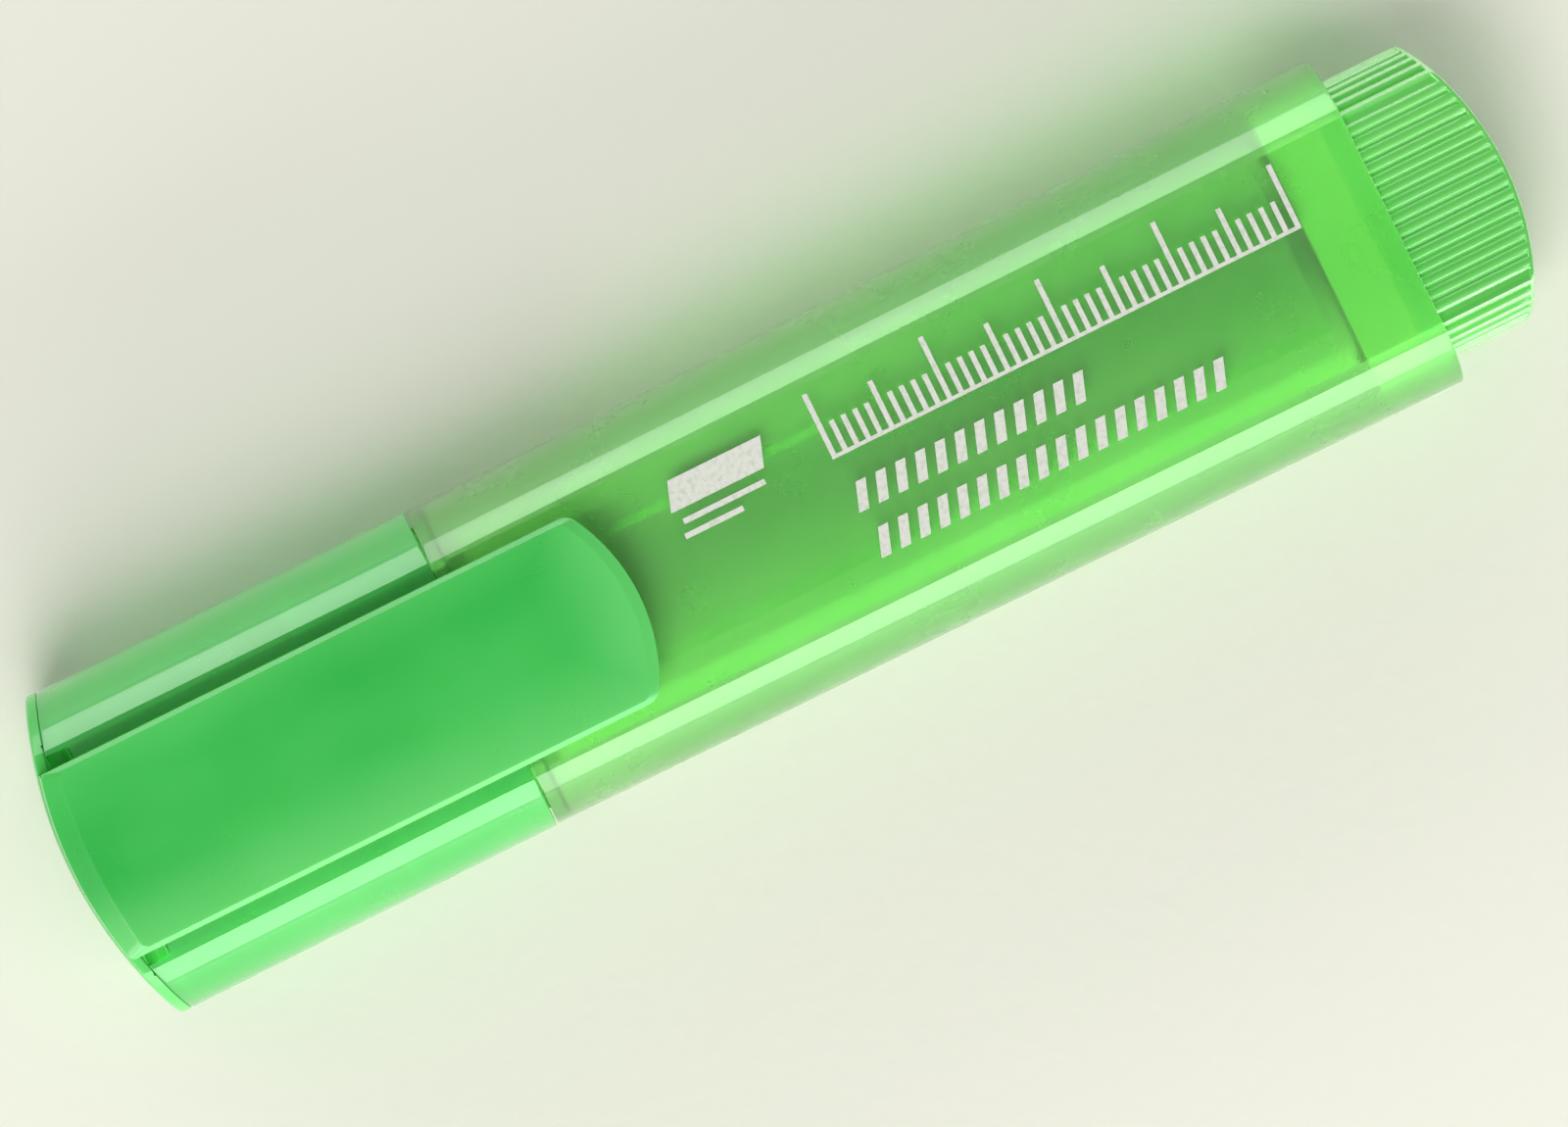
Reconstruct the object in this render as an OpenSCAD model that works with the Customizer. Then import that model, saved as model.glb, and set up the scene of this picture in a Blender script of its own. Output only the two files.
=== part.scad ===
// Flat refillable highlighter: a see-through barrel and cap of one flat-oval section,
// a pocket clip on the cap, a ribbed end plug, and a chisel nib fed by a wrapped fibre reservoir.
// The pen lies on its back: X runs from the cap's domed end to the plug, Y is its width,
// Z is up, and the clip is on top. The origin is under the middle of the pen, on the table.

/* [Overall] */
// Length from the cap's domed end to the plug's domed end
overall_l = 124.1; // [103:0.1:150]
// Width of the barrel at its shoulder, next to the cap
body_w = 27; // [22.5:0.5:33]
// Thickness of the barrel and the cap between their flat faces
body_t = 15.4; // [12.8:0.2:18.6]
// Width of the flat face on top and below at the shoulder
flat_w = 18.4; // [15.2:0.2:20]
// Lean of each side of the barrel, outwards to the plug, in degrees
barrel_draft = 0.3; // [0:0.05:0.4]
// Lean of each side of the cap, inwards to its domed end, in degrees
cap_draft = 0.5; // [0:0.05:0.6]
// Step at each side from the barrel's shoulder out to the cap's mouth
mouth_step = 0.1; // [0:0.02:0.2]

/* [Walls and clearances] */
// Wall of the barrel and the cap
wall = 1.15; // [0.9:0.05:1.4]
// Gap between the barrel's neck and the cap's inside
cap_gap = 0.25; // [0.22:0.01:0.4]
// Gap between the cap's mouth and the barrel's shoulder
seam_gap = 0.12; // [0.05:0.01:0.3]
// Gap round a piece that is pushed into another
push_gap = 0.04; // [0.02:0.01:0.08]
// Gap between the inner cap's bore and the land that it seals on
seal_gap = 0.08; // [0.05:0.01:0.15]

/* [Neck and nib section] */
// Length of the neck that the cap slides over
neck_l = 10.6; // [8:0.2:13]
// Height of the neck's snap bead
bead_h = 0.2; // [0.1:0.01:0.21]
// Thickness of the flange that stops the section on the neck
flange_t = 1.4; // [1:0.1:2]
// Length of the round land behind the snout
land_l = 6.3; // [5:0.1:8]
// Length of the tapered snout
snout_l = 5; // [3.5:0.1:7]
// Length of the section's plug inside the neck
section_plug_l = 8.2; // [6:0.2:10]

/* [Nib] */
// Width of the nib's chisel edge
nib_w = 5; // [4:0.1:5.4]
// Thickness of the nib
nib_t = 3.8; // [2.8:0.1:4]
// Length of nib in front of the snout
nib_out = 5.6; // [4.8:0.1:7.5]
// Depth of the nib in the fibre core
nib_in_core = 4.5; // [3:0.1:8]

/* [Reservoir] */
// Gap between the barrel's inside and the film, at the narrow sides
side_air = 1.9; // [1:0.1:2.6]
// Gap between the barrel's inside and the film, on top and below
flat_air = 0.75; // [0.5:0.05:1.4]
// Thickness of the film round the fibre core
film_t = 0.2; // [0.12:0.02:0.3]
// Width of the core's rounded tail
tail_d = 5; // [3:0.2:7]
// Length of the core's rounded tail
tail_l = 2.6; // [1.5:0.1:4]

/* [End plug] */
// Length of the ribbed head
head_l = 10.05; // [8:0.05:12]
// Step from the shoulder's width in to the head's ribs, at each side
head_step = 1.65; // [1.5:0.05:2.4]
// Distance from one rib to the next
rib_pitch = 1.085; // [1.04:0.005:1.4]
// Height of a rib
rib_h = 0.3; // [0.2:0.02:0.4]
// Length of the solid collar in the barrel's mouth
collar_l = 1.7; // [1:0.1:2.5]
// Length of the hollow spigot behind the collar
spigot_l = 4.7; // [3.5:0.1:6.5]
// Wall of the plug's head and spigot
plug_wall = 1.2; // [0.9:0.05:1.5]

/* [Cap] */
// Radius of the cap's end seen from above
cap_dome_r = 33; // [28:1:45]
// Radius of the plug's end seen from above
plug_dome_r = 23; // [20:1:32]
// Radius of both ends seen from the side
side_dome_r = 100; // [80:5:200]
// Thickness of the cap's end cover
cover_t = 0.9; // [0.7:0.05:1.3]
// Depth of the cover's skirt and boss inside the cap
skirt_l = 3.7; // [3.2:0.1:4.4]
// Wall of the inner cap
inner_cap_wall = 0.8; // [0.6:0.05:1]
// Free length between the nib and the inner cap's floor
nib_room = 1.2; // [0.8:0.1:3]

/* [Clip] */
// Width of the clip
clip_w = 15.9; // [12:0.1:19.2]
// Thickness of the clip's leaf
clip_t = 1.7; // [1.3:0.1:2.2]
// Gap between the cap's top and the clip's leaf
clip_gap = 1.8; // [1.5:0.1:2.6]
// Reach of the clip past the cap's mouth
clip_reach = 13.5; // [8:0.5:18]
// Radius of the clip's rounded tip
tip_r = 15; // [13:0.5:24]
// Gap between the clip's grip ridge and the barrel
ridge_gap = 0.3; // [0.2:0.05:0.6]
// Width of the notch beside the clip's root
notch_side = 0.95; // [0.6:0.05:1.4]

/* [Hidden] */
$fn = 96;

cap_green = [0.36, 0.84, 0.42, 0.75];
barrel_green = [0.45, 0.86, 0.38, 0.6];
clip_green = [0.26, 0.79, 0.36];
core_green = [0.24, 0.68, 0.27];

mid_z = body_t / 2;
over = 1;             // how far a cut runs past the solid that it cuts
weld = 0.01;          // how far two shapes of one piece reach into each other
fit_gap = 0.1;        // gap between pieces that are assembled and stay put
bead_l = 1.2;
rib_wall = 0.8;

// Crease between a flat face and the rounded side, and what it takes off an inset flat.
side_bulge = (body_w - flat_w) / 2;
side_r = arc_radius(side_bulge, mid_z);
crease = 90 - atan2(mid_z, flat_w / 2 - (body_w / 2 - side_r));
flat_loss = 2 * tan(crease / 2);

// Insets of the nested sections, each measured in from the outside of the body.
neck_inset = wall + cap_gap;
neck_bore_inset = neck_inset + wall;
section_inset = neck_bore_inset + push_gap;
film_flat_inset = wall + flat_air;
film_w = body_w - 2 * (wall + side_air);
film_body_t = body_t - 2 * film_flat_inset;
film_flat_w = flat_w - 2 * side_air;
head_inset = head_step + rib_h;

// Radii of the round sealing parts, worked in from the cap's flat inside.
inner_cap_r = mid_z - wall - 2 * fit_gap;
bore_r = inner_cap_r - inner_cap_wall;
land_r = bore_r - seal_gap;
snout_step = 0.3;     // step from the land in to the snout
snout_base_r = land_r - snout_step;
snout_tip_r = min(snout_base_r - 0.4, norm([nib_w, nib_t]) / 2 + 0.7);
flange_lip = 0.2;     // how far the section's flange stays inside the neck's outside

// Stations along the pen, from the cap's domed end.
boss_s = cover_t + skirt_l;
floor_s = boss_s + inner_cap_wall;
nib_s = floor_s + nib_room;
snout_s = nib_s + nib_out;
land_s = snout_s + snout_l;
flange_s = land_s + land_l;
neck_s = flange_s + flange_t;
seam_s = neck_s + neck_l;
shoulder_s = seam_s + seam_gap;
chamber_s = shoulder_s + wall;
section_end_s = neck_s + section_plug_l;
core_room = 1;        // free length in front of the core, and of bare core in front of the film
core_s = chamber_s + core_room;
film_s = core_s + core_room;
barrel_end_s = overall_l - head_l;
collar_s = barrel_end_s - collar_l;
spigot_s = collar_s - spigot_l;
core_end_s = spigot_s - fit_gap;
bare_end_l = 1.5;     // length of bare core behind the film
film_end_s = core_end_s - bare_end_l;
tail_end_s = core_end_s + tail_l;
bare_land_l = 2.8;    // length of land that the inner cap leaves bare
inner_cap_end_s = land_s + land_l - bare_land_l;

// The clip and its root.
clip_z = body_t + clip_gap;
clip_tip_s = seam_s + clip_reach;
root_r = 0.8;
root_gap = 0.05;
root_s = boss_s - 1.3;
root_z = body_t - 0.5;
block_end_s = root_s + 1;
block_z = body_t - 0.3;
clip_lift = 3.5;      // how far the clip's tip can be raised, in degrees
web_lift = root_s * tan(clip_lift) + root_gap;   // gap under the clip's web, which closes as the tip rises
notch_w = clip_w + 2 * notch_side;
ridge_r = clip_gap - ridge_gap;
ridge_s = clip_tip_s - 3.5;
ridge_short = 3;      // how far the ridge stops from each side of the clip
clip_edge = 0.45;     // bevel along the clip's top edges

function arc_radius(rise, half) = (rise * rise + half * half) / (2 * rise);

// Points on an arc in the XY plane, from angle a0 to a1.
function arc_points(centre, r, a0, a1, steps) =
    [for (i = [0 : steps]) centre + r * [cos(a0 + (a1 - a0) * i / steps), sin(a0 + (a1 - a0) * i / steps)]];

// Flat top and bottom, joined by round sides that meet them at a crease.
module flat_oval(w, t, flat) {
    r = arc_radius((w - flat) / 2, t / 2);
    intersection() {
        square([w + over, t], center = true);
        union() {
            square([max(w - 2 * r, flat / 4), t + over], center = true);
            for (side = [-1, 1])
                translate([side * (w / 2 - r), 0]) circle(r);
        }
    }
}

// The body's own section at the shoulder, moved in by inset all round.
module body_section(inset) {
    flat_oval(body_w - 2 * inset, body_t - 2 * inset, flat_w - inset * flat_loss);
}

// Runs a section in the YZ plane from station s0 to s1.
module run(s0, s1) {
    translate([s0, 0, mid_z]) rotate([90, 0, 90]) linear_extrude(height = s1 - s0) children();
}

// A rod or bore along the pen.
module rod(r, s0, s1) {
    translate([s0, 0, mid_z]) rotate([0, 90, 0]) cylinder(r = r, h = s1 - s0);
}

// Everything behind a domed end: plan_r seen from above, side_dome_r seen from the side.
module domed(plan_r) {
    reach = body_t + clip_gap + clip_t;
    translate([plan_r, 0, mid_z])
        rotate_extrude()
            intersection() {
                translate([plan_r - side_dome_r, 0]) circle(side_dome_r, $fn = 180);
                translate([0, -reach]) square([plan_r + over, 2 * reach]);
            }
}

// Keeps what lies behind the cap's dome, once the dome is moved in by inset.
module behind_cap_dome(inset, s1) {
    intersection() {
        children();
        union() {
            translate([inset, 0, 0]) domed(cap_dome_r);
            translate([cap_dome_r + inset, -body_w, -over])
                cube([max(s1 - cap_dome_r, 0) + over, 2 * body_w, 2 * body_t + 2 * over]);
        }
    }
}

// The outside of a moulded body: round sides that lean evenly from width w0 to w1, cut to the flat faces.
module drafted_run(s0, s1, w0, w1) {
    axis0 = w0 / 2 - side_r;
    axis1 = w1 / 2 - side_r;
    lean = atan2(axis1 - axis0, s1 - s0);
    intersection() {
        translate([s0, -body_w, 0]) cube([s1 - s0, 2 * body_w, body_t]);
        intersection_for (side = [0, 1]) mirror([0, side, 0])
            translate([s0, axis0, mid_z]) rotate([0, 90, lean]) translate([0, 0, -over])
                linear_extrude(height = s1 - s0 + 2 * over) round_edge();
    }
}

// A round edge of the body's side radius, with everything inwards of its axis.
module round_edge() {
    circle(side_r);
    translate([-body_t, -2 * body_w]) square([2 * body_t, 2 * body_w]);
}

module barrel_body() {
    drafted_run(shoulder_s, barrel_end_s, body_w,
                body_w + 2 * (barrel_end_s - shoulder_s) * tan(barrel_draft));
}

module cap_body(s1) {
    mouth_w = body_w + 2 * mouth_step;
    drafted_run(0, s1, mouth_w - 2 * seam_s * tan(cap_draft), mouth_w - 2 * (seam_s - s1) * tan(cap_draft));
}

module in_place() {
    translate([-overall_l / 2, 0, 0]) children();
}

module barrel() {
    color(barrel_green) in_place() {
        difference() {
            union() {
                barrel_body();
                run(neck_s, shoulder_s + wall / 2) body_section(neck_inset);
                run(seam_s - 3 * bead_l, seam_s - 2 * bead_l) body_section(neck_inset - bead_h);
            }
            run(chamber_s, barrel_end_s + over) body_section(wall);
            run(neck_s - over, chamber_s + over) body_section(neck_bore_inset);
        }
        reservoir_ribs();
    }
}

// Thin ribs inside the barrel that the reservoir rests between.
module reservoir_ribs() {
    rib_y = film_flat_w / 2 - 2;
    rib_t = wall / 2 + flat_air - push_gap;
    for (y = [-rib_y, rib_y])
        for (z = [wall / 2, body_t - wall / 2 - rib_t])
            translate([film_s, y - rib_wall / 2, z]) cube([film_end_s - film_s, rib_wall, rib_t]);
}

module nib_section() {
    color(cap_green) in_place()
        difference() {
            union() {
                run(neck_s - weld, section_end_s) body_section(section_inset);
                run(flange_s, neck_s) body_section(neck_inset + flange_lip);
                rod(land_r, land_s, flange_s + weld);
                translate([snout_s, 0, mid_z]) rotate([0, 90, 0])
                    cylinder(r1 = snout_tip_r, r2 = snout_base_r, h = snout_l + weld);
            }
            difference() {
                run(neck_s + flange_t, section_end_s + over) body_section(section_inset + wall);
                rod(snout_tip_r, neck_s, section_end_s + over);
            }
            nib_slot(snout_s - over, section_end_s + over);
        }
}

module nib_slot(s0, s1) {
    run(s0, s1) square([nib_w + 2 * push_gap, nib_t + 2 * push_gap], center = true);
}

// A felt bar with a slanted chisel edge in front and a blunt wedge behind.
module nib() {
    end_s = core_s + nib_in_core;
    half_w = nib_w / 2;
    half_t = nib_t / 2;
    slant = 0.62 * nib_w;
    taper = slant + 0.9;
    edge = 0.55;
    blunt = 1;
    color(core_green) in_place() intersection() {
        linear_extrude(height = body_t)
            polygon([[nib_s, -half_w], [nib_s + slant, half_w], [end_s - blunt, half_w],
                     [end_s, half_w - blunt], [end_s, blunt - half_w], [end_s - blunt, -half_w]]);
        translate([0, body_w / 2, mid_z]) rotate([90, 0, 0]) linear_extrude(height = body_w)
            polygon([[nib_s, -edge], [nib_s + taper, -half_t], [end_s - blunt, -half_t],
                     [end_s, blunt - half_t], [end_s, half_t - blunt], [end_s - blunt, half_t],
                     [nib_s + taper, half_t], [nib_s, edge]]);
    }
}

module core_section(grow = 0) {
    flat_oval(film_w - 2 * (film_t + push_gap) + 2 * grow, film_body_t - 2 * (film_t + push_gap) + 2 * grow,
              film_flat_w);
}

module reservoir_core() {
    color(core_green) in_place() difference() {
        union() {
            run(core_s, core_end_s) core_section();
            rod(tail_d / 2, core_end_s - over, tail_end_s - tail_d / 4);
            translate([tail_end_s - tail_d / 4, 0, mid_z]) rotate([0, 90, 0])
                cylinder(r1 = tail_d / 2, r2 = tail_d / 3, h = tail_d / 4);
        }
        nib_slot(core_s - over, core_s + nib_in_core + push_gap);
    }
}

module reservoir_film() {
    color(barrel_green) in_place() difference() {
        run(film_s, film_end_s) core_section(push_gap + film_t);
        run(film_s - over, film_end_s + over) core_section(push_gap);
    }
}

// Rounded ribs all round the head: rows on the flats, and fans on the round sides.
module ribbed_section() {
    w = body_w - 2 * head_inset;
    t = body_t - 2 * head_inset;
    flat = flat_w - head_inset * flat_loss;
    r = arc_radius((w - flat) / 2, t / 2);
    centre_y = w / 2 - r;
    swing = atan2(t / 2, flat / 2 - centre_y);
    rib_r = rib_pitch * 0.5;
    sink = rib_r - rib_h;
    row = floor(flat / 2 / rib_pitch);
    fan = round(swing * PI / 180 * r / rib_pitch);
    flat_oval(w, t, flat);
    for (i = [-row : row])
        for (z = [-t / 2 + sink, t / 2 - sink])
            translate([i * rib_pitch, z]) circle(rib_r, $fn = 24);
    for (side = [0, 180])
        rotate(side)
            for (i = [-fan : fan])
                translate([centre_y, 0]) rotate(i * swing / (fan + 0.25))
                    translate([r - sink, 0]) circle(rib_r, $fn = 24);
}

module end_plug() {
    color(cap_green) in_place() difference() {
        union() {
            intersection() {
                run(barrel_end_s - 0.5, overall_l) ribbed_section();
                translate([overall_l, 0, 0]) mirror([1, 0, 0]) domed(plug_dome_r);
            }
            run(collar_s, barrel_end_s) body_section(wall + fit_gap);
            run(spigot_s, collar_s + 0.5) body_section(wall + 2 * fit_gap);
        }
        difference() {
            intersection() {
                run(spigot_s - over, overall_l - plug_wall) body_section(head_inset + plug_wall);
                translate([overall_l - plug_wall, 0, 0]) mirror([1, 0, 0]) domed(plug_dome_r);
            }
            rod(tail_d / 3, tail_end_s + fit_gap, overall_l - plug_wall / 2);
        }
    }
}

// The opening in the cap's top wall that the clip's root passes through.
module root_notch(gap = 0) {
    translate([-over, -notch_w / 2 - gap, body_t - 2 * wall])
        cube([block_end_s + over + gap, notch_w + 2 * gap, 2 * wall + over]);
}

module cap_shell() {
    color(cap_green) in_place() difference() {
        behind_cap_dome(cover_t + root_gap, seam_s) cap_body(seam_s);
        run(-over, seam_s + over) body_section(wall);
        root_notch(fit_gap);
    }
}

module cap_end_cover() {
    boss_r = inner_cap_r * 0.6;
    color(clip_green) in_place() difference() {
        union() {
            difference() {
                behind_cap_dome(0, boss_s) cap_body(boss_s);
                behind_cap_dome(cover_t, boss_s) run(-over, boss_s + over) body_section(-over);
            }
            behind_cap_dome(cover_t / 2, boss_s) {
                difference() {
                    run(0, boss_s) body_section(wall + push_gap);
                    run(-over, boss_s + over) body_section(2 * wall + push_gap);
                }
            }
            behind_cap_dome(cover_t / 2, boss_s) rod(boss_r, 0, boss_s);
            behind_cap_dome(cover_t / 2, boss_s) intersection() {
                root_notch();
                translate([0, -body_w / 2, 0]) cube([block_end_s, body_w, block_z]);
                cap_body(block_end_s);
            }
        }
        root_line(root_r + root_gap, notch_w + 2 * over);
        translate([-over, -notch_w / 2 - over, block_z])
            cube([block_end_s + 2 * over, notch_w + 2 * over, body_t]);
    }
}

// A rod along the line that the clip turns about.
module root_line(r, length) {
    translate([root_s, length / 2, root_z]) rotate([90, 0, 0]) cylinder(r = r, h = length);
}

// A round cup that seals over the nib.
module inner_cap() {
    color(cap_green) in_place() difference() {
        rod(inner_cap_r, boss_s, inner_cap_end_s);
        rod(bore_r, floor_s, inner_cap_end_s + over);
    }
}

// The leaf's outline from above: straight sides and a tip on a wide arc with rounded corners.
module clip_plan() {
    corner_r = 1.4;
    inner_r = tip_r - corner_r;
    corner_y = clip_w / 2 - corner_r;
    corner_a = asin(corner_y / inner_r);
    tip_centre = [clip_tip_s - tip_r, 0];
    upper = [tip_centre[0] + inner_r * cos(corner_a), corner_y];
    polygon(concat([[0, -clip_w / 2]],
                   arc_points([upper[0], -corner_y], corner_r, -90, -corner_a, 6),
                   arc_points(tip_centre, tip_r, -corner_a + 2, corner_a - 2, 16),
                   arc_points(upper, corner_r, corner_a, 90, 6),
                   [[0, clip_w / 2]]));
}

// The leaf across its width: bevelled along both top edges.
module clip_front() {
    top = clip_z + clip_t;
    half = clip_w / 2;
    polygon([[-half, root_z - root_r - over], [half, root_z - root_r - over], [half, top - clip_edge],
             [half - clip_edge, top], [clip_edge - half, top], [-half, top - clip_edge]]);
}

// The leaf and its web from the side, with a round fillet in the corner.
module clip_side() {
    web_end = root_s + root_r;
    web_z = block_z + web_lift;
    fillet_r = clip_gap * 0.6;
    polygon(concat([[0, web_z], [web_end, web_z]],
                   arc_points([web_end + fillet_r, clip_z - fillet_r], fillet_r, 180, 90, 8),
                   [[clip_tip_s + over, clip_z], [clip_tip_s + over, clip_z + clip_t],
                    [0, clip_z + clip_t]]));
}

module clip() {
    stem_w = root_r * 1.2;
    color(clip_green) in_place() {
        behind_clip_dome() intersection() {
            linear_extrude(height = clip_z + clip_t + over) clip_plan();
            rotate([90, 0, 90]) linear_extrude(height = clip_tip_s + over) clip_front();
            union() {
                translate([0, clip_w, 0]) rotate([90, 0, 0]) linear_extrude(height = 2 * clip_w) clip_side();
                translate([root_s - stem_w / 2, -clip_w, root_z])
                    cube([stem_w, 2 * clip_w, block_z + web_lift - root_z + 0.1]);
                root_line(root_r, 2 * clip_w);
                intersection() {
                    translate([ridge_s, clip_w / 2 - ridge_short, clip_z]) rotate([90, 0, 0])
                        cylinder(r = ridge_r, h = clip_w - 2 * ridge_short);
                    translate([ridge_s - ridge_r, -clip_w, clip_z - 2 * ridge_r])
                        cube([2 * ridge_r, 2 * clip_w, 2 * ridge_r + 0.1]);
                }
            }
        }
    }
}

// Cuts the clip's root end to the dome of the cap.
module behind_clip_dome() {
    intersection() {
        children();
        union() {
            domed(cap_dome_r);
            translate([cap_dome_r, -body_w, 0])
                cube([clip_tip_s - cap_dome_r + over, 2 * body_w, 2 * body_t]);
        }
    }
}

barrel();
nib_section();
nib();
reservoir_core();
reservoir_film();
end_plug();
cap_shell();
cap_end_cover();
inner_cap();
clip();
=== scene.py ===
"""Looks of a flat refillable highlighter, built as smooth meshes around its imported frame.

The pen lies on its back: X runs from the cap's domed end to the end plug, Y is the pen's width and Z
is up through its flat faces to the clip. Lengths are in metres, and sizes are written in millimetres
times MM. The lengthwise places are read from the frame's own nodes.
"""

import logging
import math
from dataclasses import dataclass, field, replace
from enum import Enum

import bmesh
import bpy
from mathutils import Euler, Matrix, Vector


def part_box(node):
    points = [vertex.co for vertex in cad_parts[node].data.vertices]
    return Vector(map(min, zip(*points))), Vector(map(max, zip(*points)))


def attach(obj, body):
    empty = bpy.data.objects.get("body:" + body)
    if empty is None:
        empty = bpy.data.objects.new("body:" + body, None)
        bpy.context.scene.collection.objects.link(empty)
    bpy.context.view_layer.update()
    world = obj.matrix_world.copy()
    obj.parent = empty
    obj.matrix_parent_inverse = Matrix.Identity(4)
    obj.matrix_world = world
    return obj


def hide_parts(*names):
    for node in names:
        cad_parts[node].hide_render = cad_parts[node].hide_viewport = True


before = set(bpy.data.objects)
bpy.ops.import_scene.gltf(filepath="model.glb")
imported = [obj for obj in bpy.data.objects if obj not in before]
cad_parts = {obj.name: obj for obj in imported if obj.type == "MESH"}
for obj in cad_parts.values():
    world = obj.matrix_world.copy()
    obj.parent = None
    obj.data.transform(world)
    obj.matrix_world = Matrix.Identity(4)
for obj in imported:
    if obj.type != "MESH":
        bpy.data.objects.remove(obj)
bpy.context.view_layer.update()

LOG = logging.getLogger("highlighter")
MM = 0.001
Colour = tuple[float, float, float]
Ring = list[bmesh.types.BMEdge]
X_AXIS, Z_AXIS = Vector((1, 0, 0)), Vector((0, 0, 1))


class Body(Enum):
    """The bodies of the frame that pieces ride on."""

    BARREL = "barrel"
    CAP = "cap"
    CLIP = "clip"
    END_PLUG = "end_plug"


class Slot(Enum):
    """The record's material slots."""

    BARREL = "barrel_plastic"
    SECTION = "section_plastic"
    FELT = "felt"
    FIBRE = "fibre"
    FILM = "film"
    PLUG = "plug_plastic"
    CAP = "cap_plastic"
    CLIP = "clip_plastic"
    INNER_CAP = "inner_cap_plastic"


# ---------------------------------------------------------------- finishes


class NodeBench:
    """One material's node tree, with short ways to add the node kinds that the finishes use."""

    def __init__(self, name: str) -> None:
        """Starts an empty material.

        Args:
            name: The material's name.
        """
        self.material = bpy.data.materials.new(name)
        self.material.use_nodes = True
        self.tree = self.material.node_tree
        self.tree.nodes.clear()
        self.output = self.add("ShaderNodeOutputMaterial")

    def add(self, kind: str, settings: dict | None = None, **inputs) -> bpy.types.Node:
        """Adds a node.

        Args:
            kind: The node's type name.
            settings: Attributes of the node.
            inputs: Values of its input sockets, with underscores for the spaces in their names.

        Returns:
            The new node.
        """
        node = self.tree.nodes.new(kind)
        for name, value in (settings or {}).items():
            setattr(node, name, value)
        for name, value in inputs.items():
            self.feed(node.inputs[name.replace("_", " ")], value)
        return node

    def feed(self, socket: bpy.types.NodeSocket, value) -> None:
        """Links a socket to an output, or sets its plain value.

        Args:
            socket: The input socket.
            value: An output socket, a number, a vector or a colour.
        """
        if isinstance(value, bpy.types.NodeSocket):
            self.tree.links.new(value, socket)
        elif socket.type == "RGBA" and len(value) == 3:
            socket.default_value = (*value, 1.0)
        else:
            socket.default_value = value

    def place(self, stretch: Colour = (1, 1, 1), turn: float = 0.0) -> bpy.types.NodeSocket:
        """The piece's own coordinates, scaled and turned.

        Args:
            stretch: The scale along each axis.
            turn: The turn about Z in degrees.

        Returns:
            The mapped vector.
        """
        where = self.add("ShaderNodeTexCoord").outputs["Object"]
        mapping = self.add("ShaderNodeMapping", Vector=where, Rotation=(0, 0, math.radians(turn)))
        mapping.inputs["Scale"].default_value = stretch
        return mapping.outputs["Vector"]

    def noise(self, scale: float, detail: float = 2.0, stretch: Colour = (1, 1, 1),
              turn: float = 0.0) -> bpy.types.NodeSocket:
        """A noise value from 0 to 1.

        Args:
            scale: How many features fit in a metre.
            detail: The octaves of finer noise.
            stretch: The scale along each axis.
            turn: The turn about Z in degrees.

        Returns:
            The noise value.
        """
        node = self.add("ShaderNodeTexNoise", Vector=self.place(stretch, turn), Scale=scale, Detail=detail)
        return node.outputs["Fac"]

    def span(self, value: bpy.types.NodeSocket, low: float, high: float, to_low: float = 0.0,
             to_high: float = 1.0, smooth: bool = False) -> bpy.types.NodeSocket:
        """Maps a value from one range to another, clamped.

        Args:
            value: The value to map.
            low: Its lower end.
            high: Its upper end.
            to_low: The result at the lower end.
            to_high: The result at the upper end.
            smooth: Whether the ends are eased.

        Returns:
            The mapped value.
        """
        kind = "SMOOTHSTEP" if smooth else "LINEAR"
        node = self.add("ShaderNodeMapRange", {"interpolation_type": kind}, Value=value)
        node.inputs["From Min"].default_value, node.inputs["From Max"].default_value = low, high
        node.inputs["To Min"].default_value, node.inputs["To Max"].default_value = to_low, to_high
        return node.outputs["Result"]

    def blend(self, share, low, high, kind: str = "MIX") -> bpy.types.NodeSocket:
        """Mixes two colours.

        Args:
            share: The share of the second colour, as a number or an output.
            low: The first colour.
            high: The second colour.
            kind: The way of mixing.

        Returns:
            The mixed colour.
        """
        node = self.add("ShaderNodeMix", {"data_type": "RGBA", "blend_type": kind})
        for index, value in ((0, share), (6, low), (7, high)):
            self.feed(node.inputs[index], value)
        return node.outputs[2]

    def sum(self, first, second, kind: str = "ADD") -> bpy.types.NodeSocket:
        """Works out one number from two.

        Args:
            first: A number or an output.
            second: A number or an output.
            kind: The operation.

        Returns:
            The result.
        """
        node = self.add("ShaderNodeMath", {"operation": kind})
        self.feed(node.inputs[0], first)
        self.feed(node.inputs[1], second)
        return node.outputs[0]

    def bump(self, height: bpy.types.NodeSocket, depth: float, strength: float = 1.0) -> bpy.types.NodeSocket:
        """Turns a height into a normal.

        Args:
            height: The height, from 0 to 1.
            depth: What a height of 1 stands for, in metres.
            strength: The share of the effect.

        Returns:
            The normal.
        """
        return self.add("ShaderNodeBump", Height=height, Distance=depth, Strength=strength).outputs["Normal"]

    def scratches(self, scale: float, turn: float, thin: float = 0.012) -> bpy.types.NodeSocket:
        """Sparse fine scratches that lie roughly along one direction.

        Args:
            scale: How many bands fit in a metre, across them.
            turn: Their direction about Z in degrees.
            thin: How narrow the band of noise is that becomes a scratch.

        Returns:
            1 in a scratch and 0 elsewhere.
        """
        lines = self.noise(scale, 1.0, (0.06, 1, 0.3), turn)
        band = self.sum(self.sum(lines, 0.5, "SUBTRACT"), 0.0, "ABSOLUTE")
        cut = self.span(band, 0.0, thin, 1.0, 0.0)
        patches = self.span(self.noise(scale * 0.7, 1.0, (0.4, 1, 1), turn + 30), 0.6, 0.72)
        return self.sum(cut, patches, "MULTIPLY")


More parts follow.
